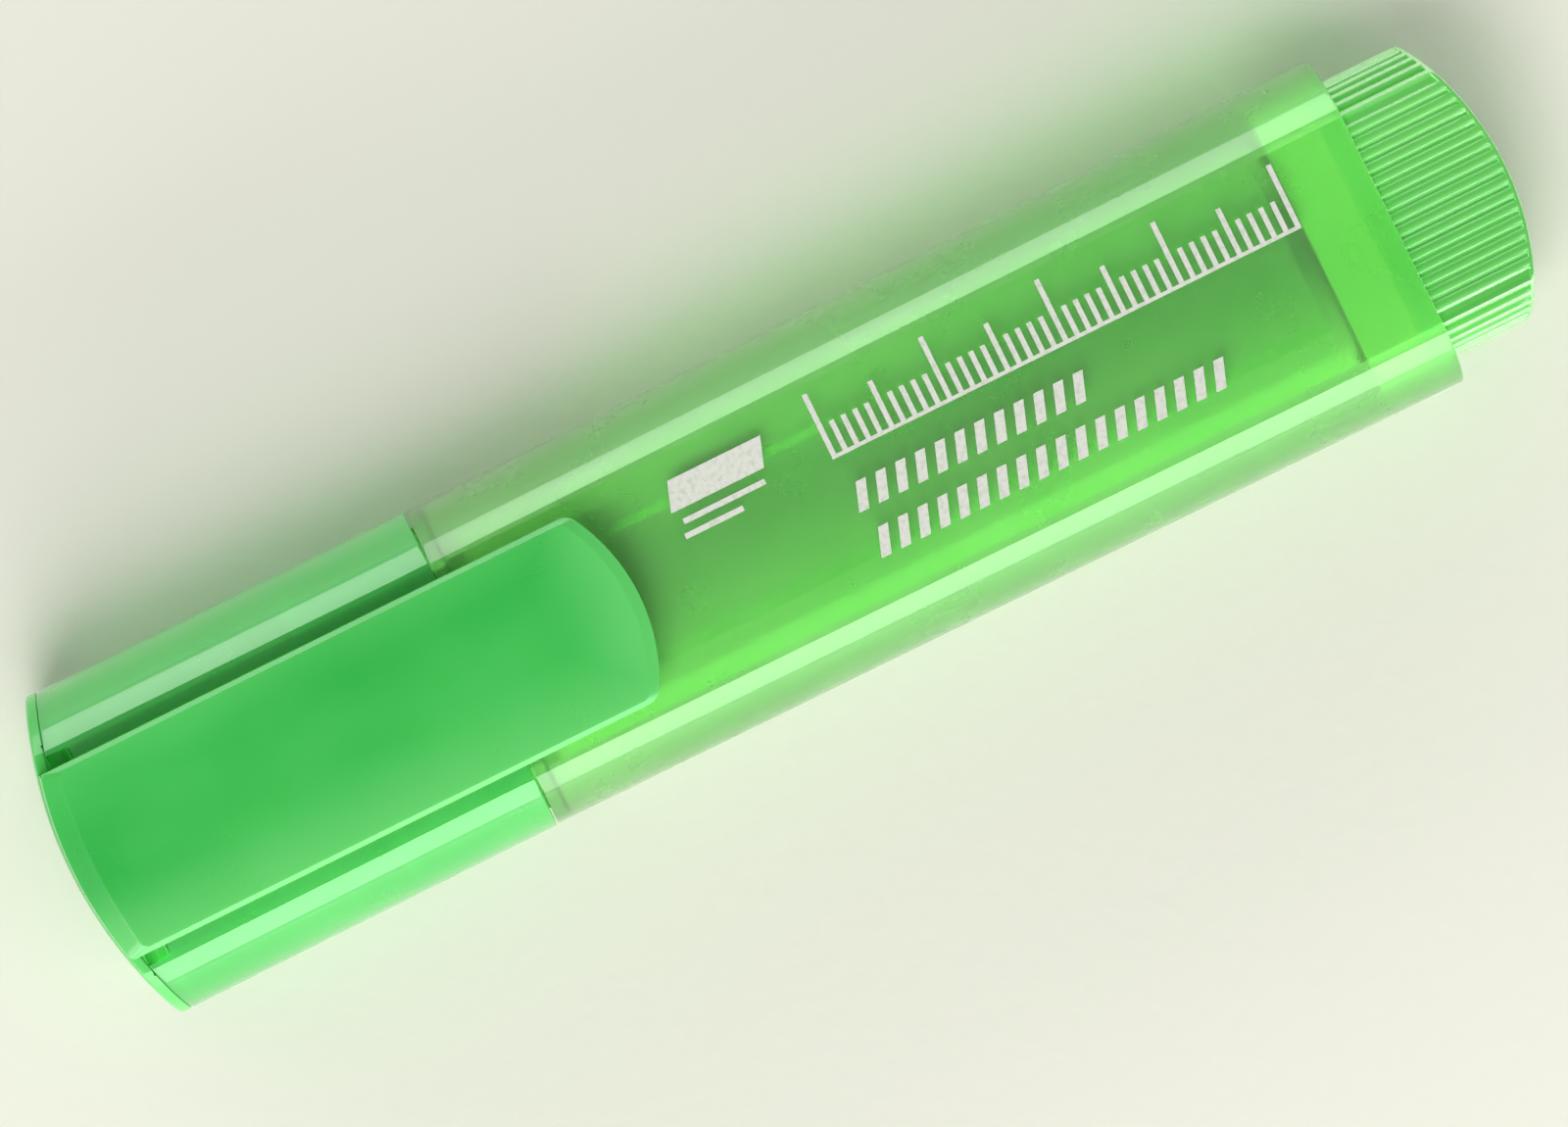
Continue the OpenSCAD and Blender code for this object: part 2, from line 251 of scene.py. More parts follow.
@dataclass(frozen=True)
class Finish:
    """A moulded finish: its colours, how it scatters and passes light, and how worn it is."""

    name: str
    deep: Colour
    pale: Colour
    roughness: float = 0.25
    transmission: float = 0.0
    subsurface: float = 0.0
    scatter_radius: float = 2.0 * MM
    coat: float = 0.0
    coat_roughness: float = 0.05
    ior: float = 1.49
    cloud_size: float = 14 * MM
    grain: float = 0.3
    grain_depth: float = 0.004 * MM
    wear: float = 0.5
    absorb: Colour | None = None
    absorb_density: float = 0.0
    pass_lamps: Colour | None = None
    alpha: float = 1.0

    def build(self) -> bpy.types.Material:
        """Makes the material.

        Returns:
            The new material.
        """
        bench = NodeBench(self.name)
        shader = bench.add("ShaderNodeBsdfPrincipled", IOR=self.ior, Coat_Weight=self.coat,
                           Coat_Roughness=self.coat_roughness, Transmission_Weight=self.transmission,
                           Subsurface_Weight=self.subsurface, Subsurface_Scale=self.scatter_radius,
                           Alpha=self.alpha)
        bench.feed(shader.inputs["Subsurface Radius"], (0.6, 1.0, 0.6))
        bench.feed(shader.inputs["Base Color"], self.colour(bench))
        bench.feed(shader.inputs["Roughness"], self.surface_roughness(bench))
        bench.feed(shader.inputs["Normal"], self.relief(bench))
        bench.feed(bench.output.inputs["Surface"], self.lit(bench, shader.outputs["BSDF"]))
        if self.absorb is not None:
            volume = bench.add("ShaderNodeVolumeAbsorption", Color=self.absorb, Density=self.absorb_density)
            bench.feed(bench.output.inputs["Volume"], volume.outputs["Volume"])
        return bench.material

    def colour(self, bench: NodeBench) -> bpy.types.NodeSocket:
        """The base colour: soft clouds of the deep and the pale colour.

        Args:
            bench: The material's bench.

        Returns:
            The colour.
        """
        clouds = bench.span(bench.noise(1 / self.cloud_size, 2.0, (0.5, 1, 1)), 0.3, 0.7, smooth=True)
        return bench.blend(clouds, self.deep, self.pale)

    def surface_roughness(self, bench: NodeBench) -> bpy.types.NodeSocket:
        """The roughness: patches of handling wear, and fine scratches.

        Args:
            bench: The material's bench.

        Returns:
            The roughness.
        """
        patches = bench.span(bench.noise(130, 4.0), 0.35, 0.75, self.roughness * 0.85, self.roughness * 1.25)
        marks = bench.scratches(260, 24)
        return bench.sum(patches, bench.sum(marks, 0.25 * self.wear, "MULTIPLY"))

    def relief(self, bench: NodeBench) -> bpy.types.NodeSocket:
        """The fine relief: moulding grain and scratches.

        Args:
            bench: The material's bench.

        Returns:
            The normal.
        """
        grain = bench.sum(bench.noise(900, 3.0), self.grain, "MULTIPLY")
        cuts = bench.sum(bench.scratches(330, -38), -self.wear, "MULTIPLY")
        return bench.bump(bench.sum(grain, cuts), self.grain_depth)

    def lit(self, bench: NodeBench, shader: bpy.types.NodeSocket) -> bpy.types.NodeSocket:
        """Lets lamps reach what is behind a clear finish.

        Args:
            bench: The material's bench.
            shader: The finish's own shader.

        Returns:
            The shader to show.
        """
        if self.pass_lamps is None:
            return shader
        clear = bench.add("ShaderNodeBsdfTransparent", Color=self.pass_lamps)
        mix = bench.add("ShaderNodeMixShader")
        bench.feed(mix.inputs[0], bench.add("ShaderNodeLightPath").outputs["Is Shadow Ray"])
        bench.feed(mix.inputs[1], shader)
        bench.feed(mix.inputs[2], clear.outputs["BSDF"])
        return mix.outputs["Shader"]


@dataclass(frozen=True)
class ClipFinish(Finish):
    """Opaque moulded plastic that is handled every day: dark specks and a few pale scratches, with a painted
    highlight along the lower side, the tip and a little of the upper side.
    """

    speck: Colour = (0.01, 0.12, 0.02)
    scuff: Colour = (0.3, 0.78, 0.28)
    # The paler green of the painted highlight on the lower side, the upper side and the tip.
    thin: Colour = (0.12, 0.62, 0.14)

    def colour(self, bench: NodeBench) -> bpy.types.NodeSocket:
        """The clouded base colour, paler towards the lower side and the tip as a painted highlight, with
        specks and scuffs on it.

        Args:
            bench: The material's bench.

        Returns:
            The colour.
        """
        parts = bench.add("ShaderNodeSeparateXYZ", Vector=bench.place())
        # Painted highlight: the colour is blended to the paler green towards the lower side, less towards the
        # upper side, and towards the tip.
        painted_highlight_low_side = bench.span(parts.outputs["Y"], -1 * MM, -9 * MM, smooth=True)
        painted_highlight_high_side = bench.span(parts.outputs["Y"], 4 * MM, 9 * MM, 0.0, 0.4, smooth=True)
        tip_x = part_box("clip")[1].x
        tip = bench.span(parts.outputs["X"], tip_x - 8 * MM, tip_x, 0.0, 0.9, smooth=True)
        edge = bench.sum(bench.sum(painted_highlight_low_side, painted_highlight_high_side, "MAXIMUM"), tip, "MAXIMUM")
        base = bench.blend(edge, super().colour(bench), self.thin)
        cells = bench.add("ShaderNodeTexVoronoi", Vector=bench.place(), Scale=230.0)
        chosen = bench.span(cells.outputs["Color"], 0.93, 0.95)
        dots = bench.sum(bench.span(cells.outputs["Distance"], 0.03, 0.05, 1.0, 0.0), chosen, "MULTIPLY")
        scuffs = bench.sum(bench.scratches(120, -62, 0.006), 0.45, "MULTIPLY")
        return bench.blend(dots, bench.blend(scuffs, base, self.scuff), self.speck)


@dataclass(frozen=True)
class PlugFinish(Finish):
    """The end plug's plastic, with the spigot painted paler and yellower than the head as painted light, for
    the light that passes through its thin walls.
    """

    # Painted light: the paler, yellower colour of the spigot, where light passes through its thin walls.
    spigot: Colour = (0.5, 0.93, 0.26)

    def colour(self, bench: NodeBench) -> bpy.types.NodeSocket:
        """The clouded base colour, blended to the spigot's painted lighter colour.

        Args:
            bench: The material's bench.

        Returns:
            The colour.
        """
        parts = bench.add("ShaderNodeSeparateXYZ", Vector=bench.place())
        head_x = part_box("barrel")[1].x
        # Painted light: the spigot, ahead of the head, is blended towards the paler colour.
        share = bench.span(parts.outputs["X"], head_x - 2.2 * MM, head_x - 1.6 * MM, smooth=True)
        return bench.blend(share, self.spigot, super().colour(bench))


@dataclass(frozen=True)
class FibreFinish(Finish):
    """Ink-soaked fibre: threads along the pen, and ink that has drawn towards one side."""

    ink: Colour = (0.02, 0.3, 0.03)
    soaked_y: float = 1.5 * MM
    soaked_half: float = 10 * MM

    def colour(self, bench: NodeBench) -> bpy.types.NodeSocket:
        """Threads in two greens, darker where the ink stands.

        Args:
            bench: The material's bench.

        Returns:
            The colour.
        """
        threads = bench.blend(bench.noise(2600, 3.0, (0.05, 1, 1)), self.deep, self.pale)
        parts = bench.add("ShaderNodeSeparateXYZ", Vector=bench.place())
        off = bench.sum(bench.sum(parts.outputs["Y"], self.soaked_y, "SUBTRACT"), 0.0, "ABSOLUTE")
        soaked = bench.span(off, 0.0, self.soaked_half, 1.0, 0.0, smooth=True)
        return bench.blend(soaked, threads, self.ink)

    def relief(self, bench: NodeBench) -> bpy.types.NodeSocket:
        """Ridges along the threads.

        Args:
            bench: The material's bench.

        Returns:
            The normal.
        """
        return bench.bump(bench.noise(2600, 3.0, (0.05, 1, 1)), 0.05 * MM)


@dataclass(frozen=True)
class FeltFinish(Finish):
    """Pressed felt: fuzzy, matted fibres that lie every way."""

    def colour(self, bench: NodeBench) -> bpy.types.NodeSocket:
        """Mottled felt.

        Args:
            bench: The material's bench.

        Returns:
            The colour.
        """
        return bench.blend(bench.span(bench.noise(1800, 5.0), 0.3, 0.7), self.deep, self.pale)

    def relief(self, bench: NodeBench) -> bpy.types.NodeSocket:
        """Matted fibres.

        Args:
            bench: The material's bench.

        Returns:
            The normal.
        """
        return bench.bump(bench.noise(3200, 6.0), 0.06 * MM)


@dataclass(frozen=True)
class PrintFinish(Finish):
    """Screen-printed ink, thin in places."""

    def colour(self, bench: NodeBench) -> bpy.types.NodeSocket:
        """Ink that is a little greyer where it is thin.

        Args:
            bench: The material's bench.

        Returns:
            The colour.
        """
        return bench.blend(bench.span(bench.noise(2400, 3.0), 0.45, 0.75), self.pale, self.deep)


class Finishes:
    """Every finish of the pen, each made once."""

    barrel = Finish("barrel_clear_green", (0.48, 0.86, 0.38), (0.55, 0.9, 0.43), roughness=0.3,
                    transmission=0.92, coat=1.0, coat_roughness=0.035, wear=0.0, grain_depth=0.001 * MM,
                    absorb=(0.1, 0.85, 0.08), absorb_density=200.0, pass_lamps=(0.88, 0.95, 0.84))
    cap = Finish("cap_milky_green", (0.08, 0.64, 0.13), (0.11, 0.7, 0.16), roughness=0.32,
                 transmission=0.5, coat=1.0, coat_roughness=0.035, wear=0.0, grain_depth=0.001 * MM,
                 absorb=(0.1, 0.9, 0.12), absorb_density=100.0, pass_lamps=(0.65, 0.9, 0.65))
    plug = PlugFinish("plug_clear_green", (0.15, 0.78, 0.13), (0.21, 0.84, 0.16), roughness=0.34,
                      transmission=0.4, coat=0.35, coat_roughness=0.12, wear=0.0, grain_depth=0.001 * MM,
                      absorb=(0.1, 0.95, 0.1), absorb_density=60.0, pass_lamps=(0.8, 0.97, 0.65))
    clip = ClipFinish("clip_solid_green", (0.02, 0.44, 0.055), (0.045, 0.52, 0.08), roughness=0.3,
                      subsurface=0.25, scatter_radius=1.5 * MM, coat=0.3)
    section = Finish("section_satin_green", (0.16, 0.62, 0.2), (0.22, 0.7, 0.25), roughness=0.35,
                     subsurface=0.3, coat=0.2, wear=0.05)
    inner_cap = Finish("inner_cap_milky_green", (0.25, 0.7, 0.3), (0.33, 0.78, 0.36), roughness=0.4,
                       subsurface=0.3, wear=0.0)
    film = Finish("reservoir_film_clear", (0.4, 0.8, 0.35), (0.5, 0.86, 0.42), roughness=0.25,
                  coat=0.1, wear=0.0, alpha=0.12)
    fibre = FibreFinish("reservoir_fibre", (0.36, 0.54, 0.27), (0.5, 0.62, 0.38), roughness=0.9,
                        ink=(0.0, 0.13, 0.006), soaked_y=1.5 * MM, soaked_half=10 * MM)
    felt = FeltFinish("nib_felt", (0.12, 0.6, 0.1), (0.25, 0.75, 0.18), roughness=0.95)
    ink = PrintFinish("print_ink", (0.5, 0.56, 0.46), (0.68, 0.69, 0.62), roughness=0.55)

    _made: dict[str, bpy.types.Material] = {}

    @classmethod
    def get(cls, finish: Finish) -> bpy.types.Material:
        """The material of a finish, made the first time it is asked for.

        Args:
            finish: The finish.

        Returns:
            Its material.
        """
        if finish.name not in cls._made:
            cls._made[finish.name] = finish.build()
        return cls._made[finish.name]


# ---------------------------------------------------------------- shapes


@dataclass(frozen=True)
class Dome:
    """A domed end: round seen from above and, more gently, seen from the side."""

    apex_x: float
    plan_radius: float
    facing: float
    mid_z: float
    side_radius: float = 100 * MM

    def x(self, y: float, z: float, depth: float = 0.0) -> float:
        """Where the dome lies.

        Args:
            y: The place across the pen.
            z: The height.
            depth: How far inside the dome, along the pen.

        Returns:
            The place along the pen.
        """
        rise = z - self.mid_z
        bulge = self.plan_radius - self.side_radius + math.sqrt(self.side_radius ** 2 - rise ** 2)
        fall = self.plan_radius - math.sqrt(bulge ** 2 - y ** 2)
        return self.apex_x - self.facing * (fall + depth)


@dataclass(frozen=True)
class Section:
    """A flat-oval section: flat faces above and below, and round sides that meet them at a crease."""

    width: float = 27.0 * MM
    thickness: float = 15.4 * MM
    flat: float = 18.4 * MM
    mid_z: float = 7.7 * MM

    @property
    def side_radius(self) -> float:
        """The radius of each round side."""
        bulge, half = (self.width - self.flat) / 2, self.thickness / 2
        return (bulge ** 2 + half ** 2) / (2 * bulge)

    @property
    def axis_y(self) -> float:
        """How far each round side's axis lies from the middle."""
        return self.width / 2 - self.side_radius

    @property
    def swing(self) -> float:
        """The angle from the widest point to the crease, about the side's axis."""
        return math.atan2(self.thickness / 2, self.flat / 2 - self.axis_y)

    def inset(self, depth: float) -> "Section":
        """The section moved in all round.

        Args:
            depth: How far in.

        Returns:
            The smaller section.
        """
        loss = 2 * math.tan((math.pi / 2 - self.swing) / 2)
        return replace(self, width=self.width - 2 * depth, thickness=self.thickness - 2 * depth,
                       flat=self.flat - depth * loss)


class Outline:
    """Draws one half of a closed outline, stretch by stretch, and mirrors it across the pen's middle."""

    def __init__(self, start: Vector) -> None:
        """Puts down the first point.

        Args:
            start: The first point, on the middle plane.
        """
        self.mesh = bmesh.new()
        self.last = self.mesh.verts.new(start)

    def line(self, end: Vector, cuts: int = 0) -> "Outline":
        """Draws a straight stretch.

        Args:
            end: Where it ends.
            cuts: The points to put in along it.

        Returns:
            The outline.
        """
        steps = cuts + 1
        return self.sweep(Vector((0, 0, 0)), Z_AXIS, 0.0, steps, (end - self.last.co) / steps)

    def arc(self, centre: Vector, axis: Vector, angle: float, steps: int) -> "Outline":
        """Draws a round stretch.

        Args:
            centre: Its centre.
            axis: The axis that it turns about.
            angle: How far it turns, by the right-hand rule.
            steps: The number of its edges.

        Returns:
            The outline.
        """
        return self.sweep(centre, axis, angle, steps, Vector((0, 0, 0)))

    def sweep(self, centre: Vector, axis: Vector, angle: float, steps: int, shift: Vector) -> "Outline":
        """Extrudes the last point step by step.

        Args:
            centre: The centre of the turn.
            axis: The axis of the turn.
            angle: The whole turn.
            steps: The number of edges.
            shift: How far the point also moves in each step.

        Returns:
            The outline.
        """
        end = bmesh.ops.spin(self.mesh, geom=[self.last], cent=centre, axis=axis, angle=angle,
                             steps=steps, dvec=shift, use_merge=False)["geom_last"]
        self.last = next(g for g in end if isinstance(g, bmesh.types.BMVert))
        return self

    def close(self) -> bmesh.types.BMesh:
        """Mirrors the half outline across Y and joins the halves.

        Returns:
            The mesh of the closed outline.
        """
        bmesh.ops.mirror(self.mesh, geom=self.mesh.verts[:] + self.mesh.edges[:],
                         matrix=Matrix.Identity(4), merge_dist=-1.0, axis="Y")
        middle = [v for v in self.mesh.verts if abs(v.co.y) < 1e-7]
        bmesh.ops.remove_doubles(self.mesh, verts=middle, dist=1e-6)
        return self.mesh


class Loft:
    """A closed solid made of rings, each bridged to the one before."""

    arc_steps = 26
    flat_cuts = 9
    apart = 100 * MM

    def __init__(self) -> None:
        """Starts an empty mesh."""
        self.mesh = bmesh.new()
        self.first: Ring | None = None
        self.last: Ring | None = None
        self.seats: list[tuple[bmesh.types.BMVert, Vector]] = []
        self.count = 0

    def add(self, ring: Ring) -> "Loft":
        """Bridges the last ring to this one, with the rings drawn apart until the loft is finished.

        Args:
            ring: The new ring.

        Returns:
            The loft.
        """
        self.count += 1
        verts = self.verts_of(ring)
        self.seats += [(v, v.co.copy()) for v in verts]
        bmesh.ops.translate(self.mesh, verts=verts, vec=(self.count * self.apart, 0, 0))
        if self.last is None:
            self.first = ring
        else:
            bmesh.ops.bridge_loops(self.mesh, edges=self.last + ring)
        self.last = ring
        return self

    def adopt(self, outline: bmesh.types.BMesh) -> Ring:
        """Takes in a closed outline.

        Args:
            outline: The outline's own mesh, which is freed.

        Returns:
            The ring of its edges in this mesh.
        """
        known = set(self.mesh.edges)
        data = mesh_from(outline, "outline")
        self.mesh.from_mesh(data)
        bpy.data.meshes.remove(data)
        return [e for e in self.mesh.edges if e not in known]

    def oval(self, section: Section, x: float) -> Ring:
        """Draws a flat oval across the pen.

        Args:
            section: Its sizes.
            x: Where it lies along the pen.

        Returns:
            The ring.
        """
        half_t, half_f = section.thickness / 2, section.flat / 2
        low, high = section.mid_z - half_t, section.mid_z + half_t
        outline = Outline(Vector((x, 0, high))).line(Vector((x, half_f, high)), self.flat_cuts)
        outline.arc(Vector((x, section.axis_y, section.mid_z)), X_AXIS, -2 * section.swing, self.arc_steps)
        return self.adopt(outline.line(Vector((x, 0, low)), self.flat_cuts).close())

    def circle(self, radius: float, x: float, mid_z: float) -> Ring:
        """Draws a circle across the pen, with as many points as a flat oval.

        Args:
            radius: Its radius.
            x: Where it lies along the pen.
            mid_z: The height of its middle.

        Returns:
            The ring.
        """
        count = 4 * (self.flat_cuts + 1) + 2 * self.arc_steps
        place = Matrix.Translation((x, 0, mid_z)) @ Matrix.Rotation(math.pi / 2, 4, "Y")
        made = bmesh.ops.create_circle(self.mesh, cap_ends=False, segments=count, radius=radius,
                                       matrix=place)["verts"]
        return list({e for v in made for e in v.link_edges})

    def verts_of(self, ring: Ring) -> list[bmesh.types.BMVert]:
        """The points of a ring."""
        return list({v for e in ring for v in e.verts})

    def shrink(self, ring: Ring, share: float, mid_z: float) -> Ring:
        """Scales a ring towards the pen's middle line.

        Args:
            ring: The ring.
            share: The scale.
            mid_z: The height of the middle line.

        Returns:
            The ring.
        """
        bmesh.ops.scale(self.mesh, vec=(1, share, share), verts=self.verts_of(ring),
                        space=Matrix.Translation((0, 0, -mid_z)))
        return ring

    def cap_off(self) -> "Loft":
        """Closes the last ring with faces.

        Returns:
            The loft.
        """
        self.fill(self.last)
        return self

    def fill(self, ring: Ring) -> None:
        """Closes a ring with triangles.

        Args:
            ring: The ring.
        """
        bmesh.ops.triangle_fill(self.mesh, use_beauty=True, use_dissolve=False, edges=ring)

    def join_ends(self) -> "Loft":
        """Bridges the last ring to the first, so that the loft is a closed tube.

        Returns:
            The loft.
        """
        bmesh.ops.bridge_loops(self.mesh, edges=self.last + self.first)
        return self

    def finished(self) -> bmesh.types.BMesh:
        """The closed mesh, with every ring back in its place and the faces turned outwards.

        Returns:
            The mesh.
        """
        for vert, seat in self.seats:
            vert.co = seat
        bmesh.ops.recalc_face_normals(self.mesh, faces=self.mesh.faces)
        return self.mesh


@dataclass(frozen=True)
class Corner:
    """One corner of a wall's profile along the pen."""

    x: float
    depth: float
    radius: float = 0.0

    @property
    def point(self) -> Vector:
        """The corner in the plane of the profile."""
        return Vector((self.x, self.depth))


def rounded(corners: list[Corner], closed: bool, steps: int = 4) -> list[Vector]:
    """Rounds the corners of a profile.

    Args:
        corners: The corners in order, as places along the pen and depths below the outer surface.
        closed: Whether the last corner runs on to the first.
        steps: The number of stretches in each round.

    Returns:
        The points of the rounded profile.
    """
    points: list[Vector] = []
    for index, corner in enumerate(corners):
        at_end = not closed and index in (0, len(corners) - 1)
        if corner.radius == 0 or at_end:
            points.append(corner.point)
            continue
        before = (corners[index - 1].point - corner.point).normalized()
        after = (corners[(index + 1) % len(corners)].point - corner.point).normalized()
        reach = corner.radius / math.tan(before.angle(after) / 2)
        start, end = corner.point + before * reach, corner.point + after * reach
        for step in range(steps + 1):
            t = step / steps
            points.append(start * (1 - t) ** 2 + corner.point * (2 * t * (1 - t)) + end * t ** 2)
    return points


def boolean(target: bpy.types.Object, tool: bmesh.types.BMesh, kind: str) -> None:
    """Cuts or joins a mesh with another and keeps the result.

    Args:
        target: The object to change.
        tool: The mesh to cut or join with, which is used up.
        kind: UNION, DIFFERENCE or INTERSECT.
    """
    other = bpy.data.objects.new("tool", mesh_from(tool, "tool"))
    bpy.context.scene.collection.objects.link(other)
    modifier = target.modifiers.new("cut", "BOOLEAN")
    modifier.operation, modifier.object, modifier.solver = kind, other, "EXACT"
    graph = bpy.context.evaluated_depsgraph_get()
    result = bpy.data.meshes.new_from_object(target.evaluated_get(graph), depsgraph=graph)
    target.modifiers.clear()
    target.data = result
    bpy.data.objects.remove(other)


def bar(radius: float, length: float, x: float, z: float, segments: int = 32) -> bmesh.types.BMesh:
    """A round bar across the pen.

    Args:
        radius: Its radius.
        length: Its length.
        x: Where its axis lies along the pen.
        z: The height of its axis.
        segments: The number of its sides.

    Returns:
        The bar.
    """
    mesh = bmesh.new()
    turn = Matrix.Translation((x, 0, z)) @ Matrix.Rotation(math.pi / 2, 4, "X")
    bmesh.ops.create_cone(mesh, cap_ends=True, segments=segments, radius1=radius, radius2=radius,
                          depth=length, matrix=turn)
    return mesh


def mesh_from(source: bmesh.types.BMesh, name: str) -> bpy.types.Mesh:
    """Turns a bmesh into a mesh.

    Args:
        source: The bmesh, which is freed.
        name: The mesh's name.

    Returns:
        The mesh.
    """
    data = bpy.data.meshes.new(name)
    source.to_mesh(data)
    source.free()
    return data


@dataclass
class Piece:
    """One finished piece: its mesh, its finish, and what it stands for in the frame."""

    name: str
    body: Body
    finish: Finish
    stands_for: tuple[str, ...] = ()
    slot: Slot | None = None
    crease: float = 26.0
    item: bpy.types.Object | None = None

    def make(self, source: bmesh.types.BMesh) -> "Piece":
        """Makes the object from a bmesh.

        Args:
            source: The bmesh, which is freed.

        Returns:
            The piece.
        """
        self.item = bpy.data.objects.new(self.name, mesh_from(source, self.name))
        bpy.context.scene.collection.objects.link(self.item)
        return self

    def dress(self) -> "Piece":
        """Shades the piece, gives it its finish, and seats it on its body.

        Returns:
            The piece.
        """
        data = self.item.data
        data.materials.clear()
        data.materials.append(Finishes.get(self.finish))
        data.polygons.foreach_set("use_smooth", [True] * len(data.polygons))
        data.polygons.foreach_set("material_index", [0] * len(data.polygons))
        data.set_sharp_from_angle(angle=math.radians(self.crease))
        shading = self.item.modifiers.new("shading", "WEIGHTED_NORMAL")
        shading.keep_sharp = True
        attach(self.item, self.body.value)
        if self.stands_for:
            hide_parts(*self.stands_for)
        LOG.info("%s: %d faces on %s", self.name, len(data.polygons), self.body.value)
        return self


# ---------------------------------------------------------------- places


@dataclass(frozen=True)
class Places:
    """Where things lie along the pen, read from the frame."""

    end_x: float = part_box("cap_end_cover")[0].x
    boss_x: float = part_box("inner_cap")[0].x
    inner_cap_end_x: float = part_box("inner_cap")[1].x
    nib_x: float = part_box("nib")[0].x
    nib_end_x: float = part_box("nib")[1].x
    snout_x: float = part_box("nib_section")[0].x
    section_end_x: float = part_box("nib_section")[1].x
    neck_x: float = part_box("barrel")[0].x
    mouth_x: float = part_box("cap_shell")[1].x
    core_x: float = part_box("reservoir_core")[0].x
    tail_end_x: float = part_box("reservoir_core")[1].x
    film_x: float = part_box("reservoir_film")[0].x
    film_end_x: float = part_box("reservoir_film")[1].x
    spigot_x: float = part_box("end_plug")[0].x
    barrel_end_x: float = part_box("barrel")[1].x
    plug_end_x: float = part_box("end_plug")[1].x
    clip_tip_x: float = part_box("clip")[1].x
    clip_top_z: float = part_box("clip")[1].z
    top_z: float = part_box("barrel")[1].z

    @property
    def mid_z(self) -> float:
        """The height of the pen's middle line."""
        return self.top_z / 2

    @property
    def shoulder_x(self) -> float:
        """The barrel's shoulder, just behind the cap's mouth."""
        return self.mouth_x + 0.12 * MM


PLACES = Places()
OUTSIDE = Section(mid_z=PLACES.mid_z)
CAP_DOME = Dome(PLACES.end_x, 33 * MM, -1.0, PLACES.mid_z)
PLUG_DOME = Dome(PLACES.plug_end_x, 23 * MM, 1.0, PLACES.mid_z)


def lean_out(ring_verts: list[bmesh.types.BMVert], from_x: float, draft: float, step: float = 0.0) -> None:
    """Moves the sides of a moulded body out, more the further they lie from a place.

    Args:
        ring_verts: The points to move.
        from_x: Where the moulding draft starts.
        draft: The draft of each side, in degrees.
        step: What every point moves out besides.
    """
    for vert in ring_verts:
        out = step + (vert.co.x - from_x) * math.tan(math.radians(draft))
        share = min(1.0, abs(vert.co.y) / (OUTSIDE.flat / 2))
        vert.co.y += math.copysign(out * share, vert.co.y)


# ---------------------------------------------------------------- barrel


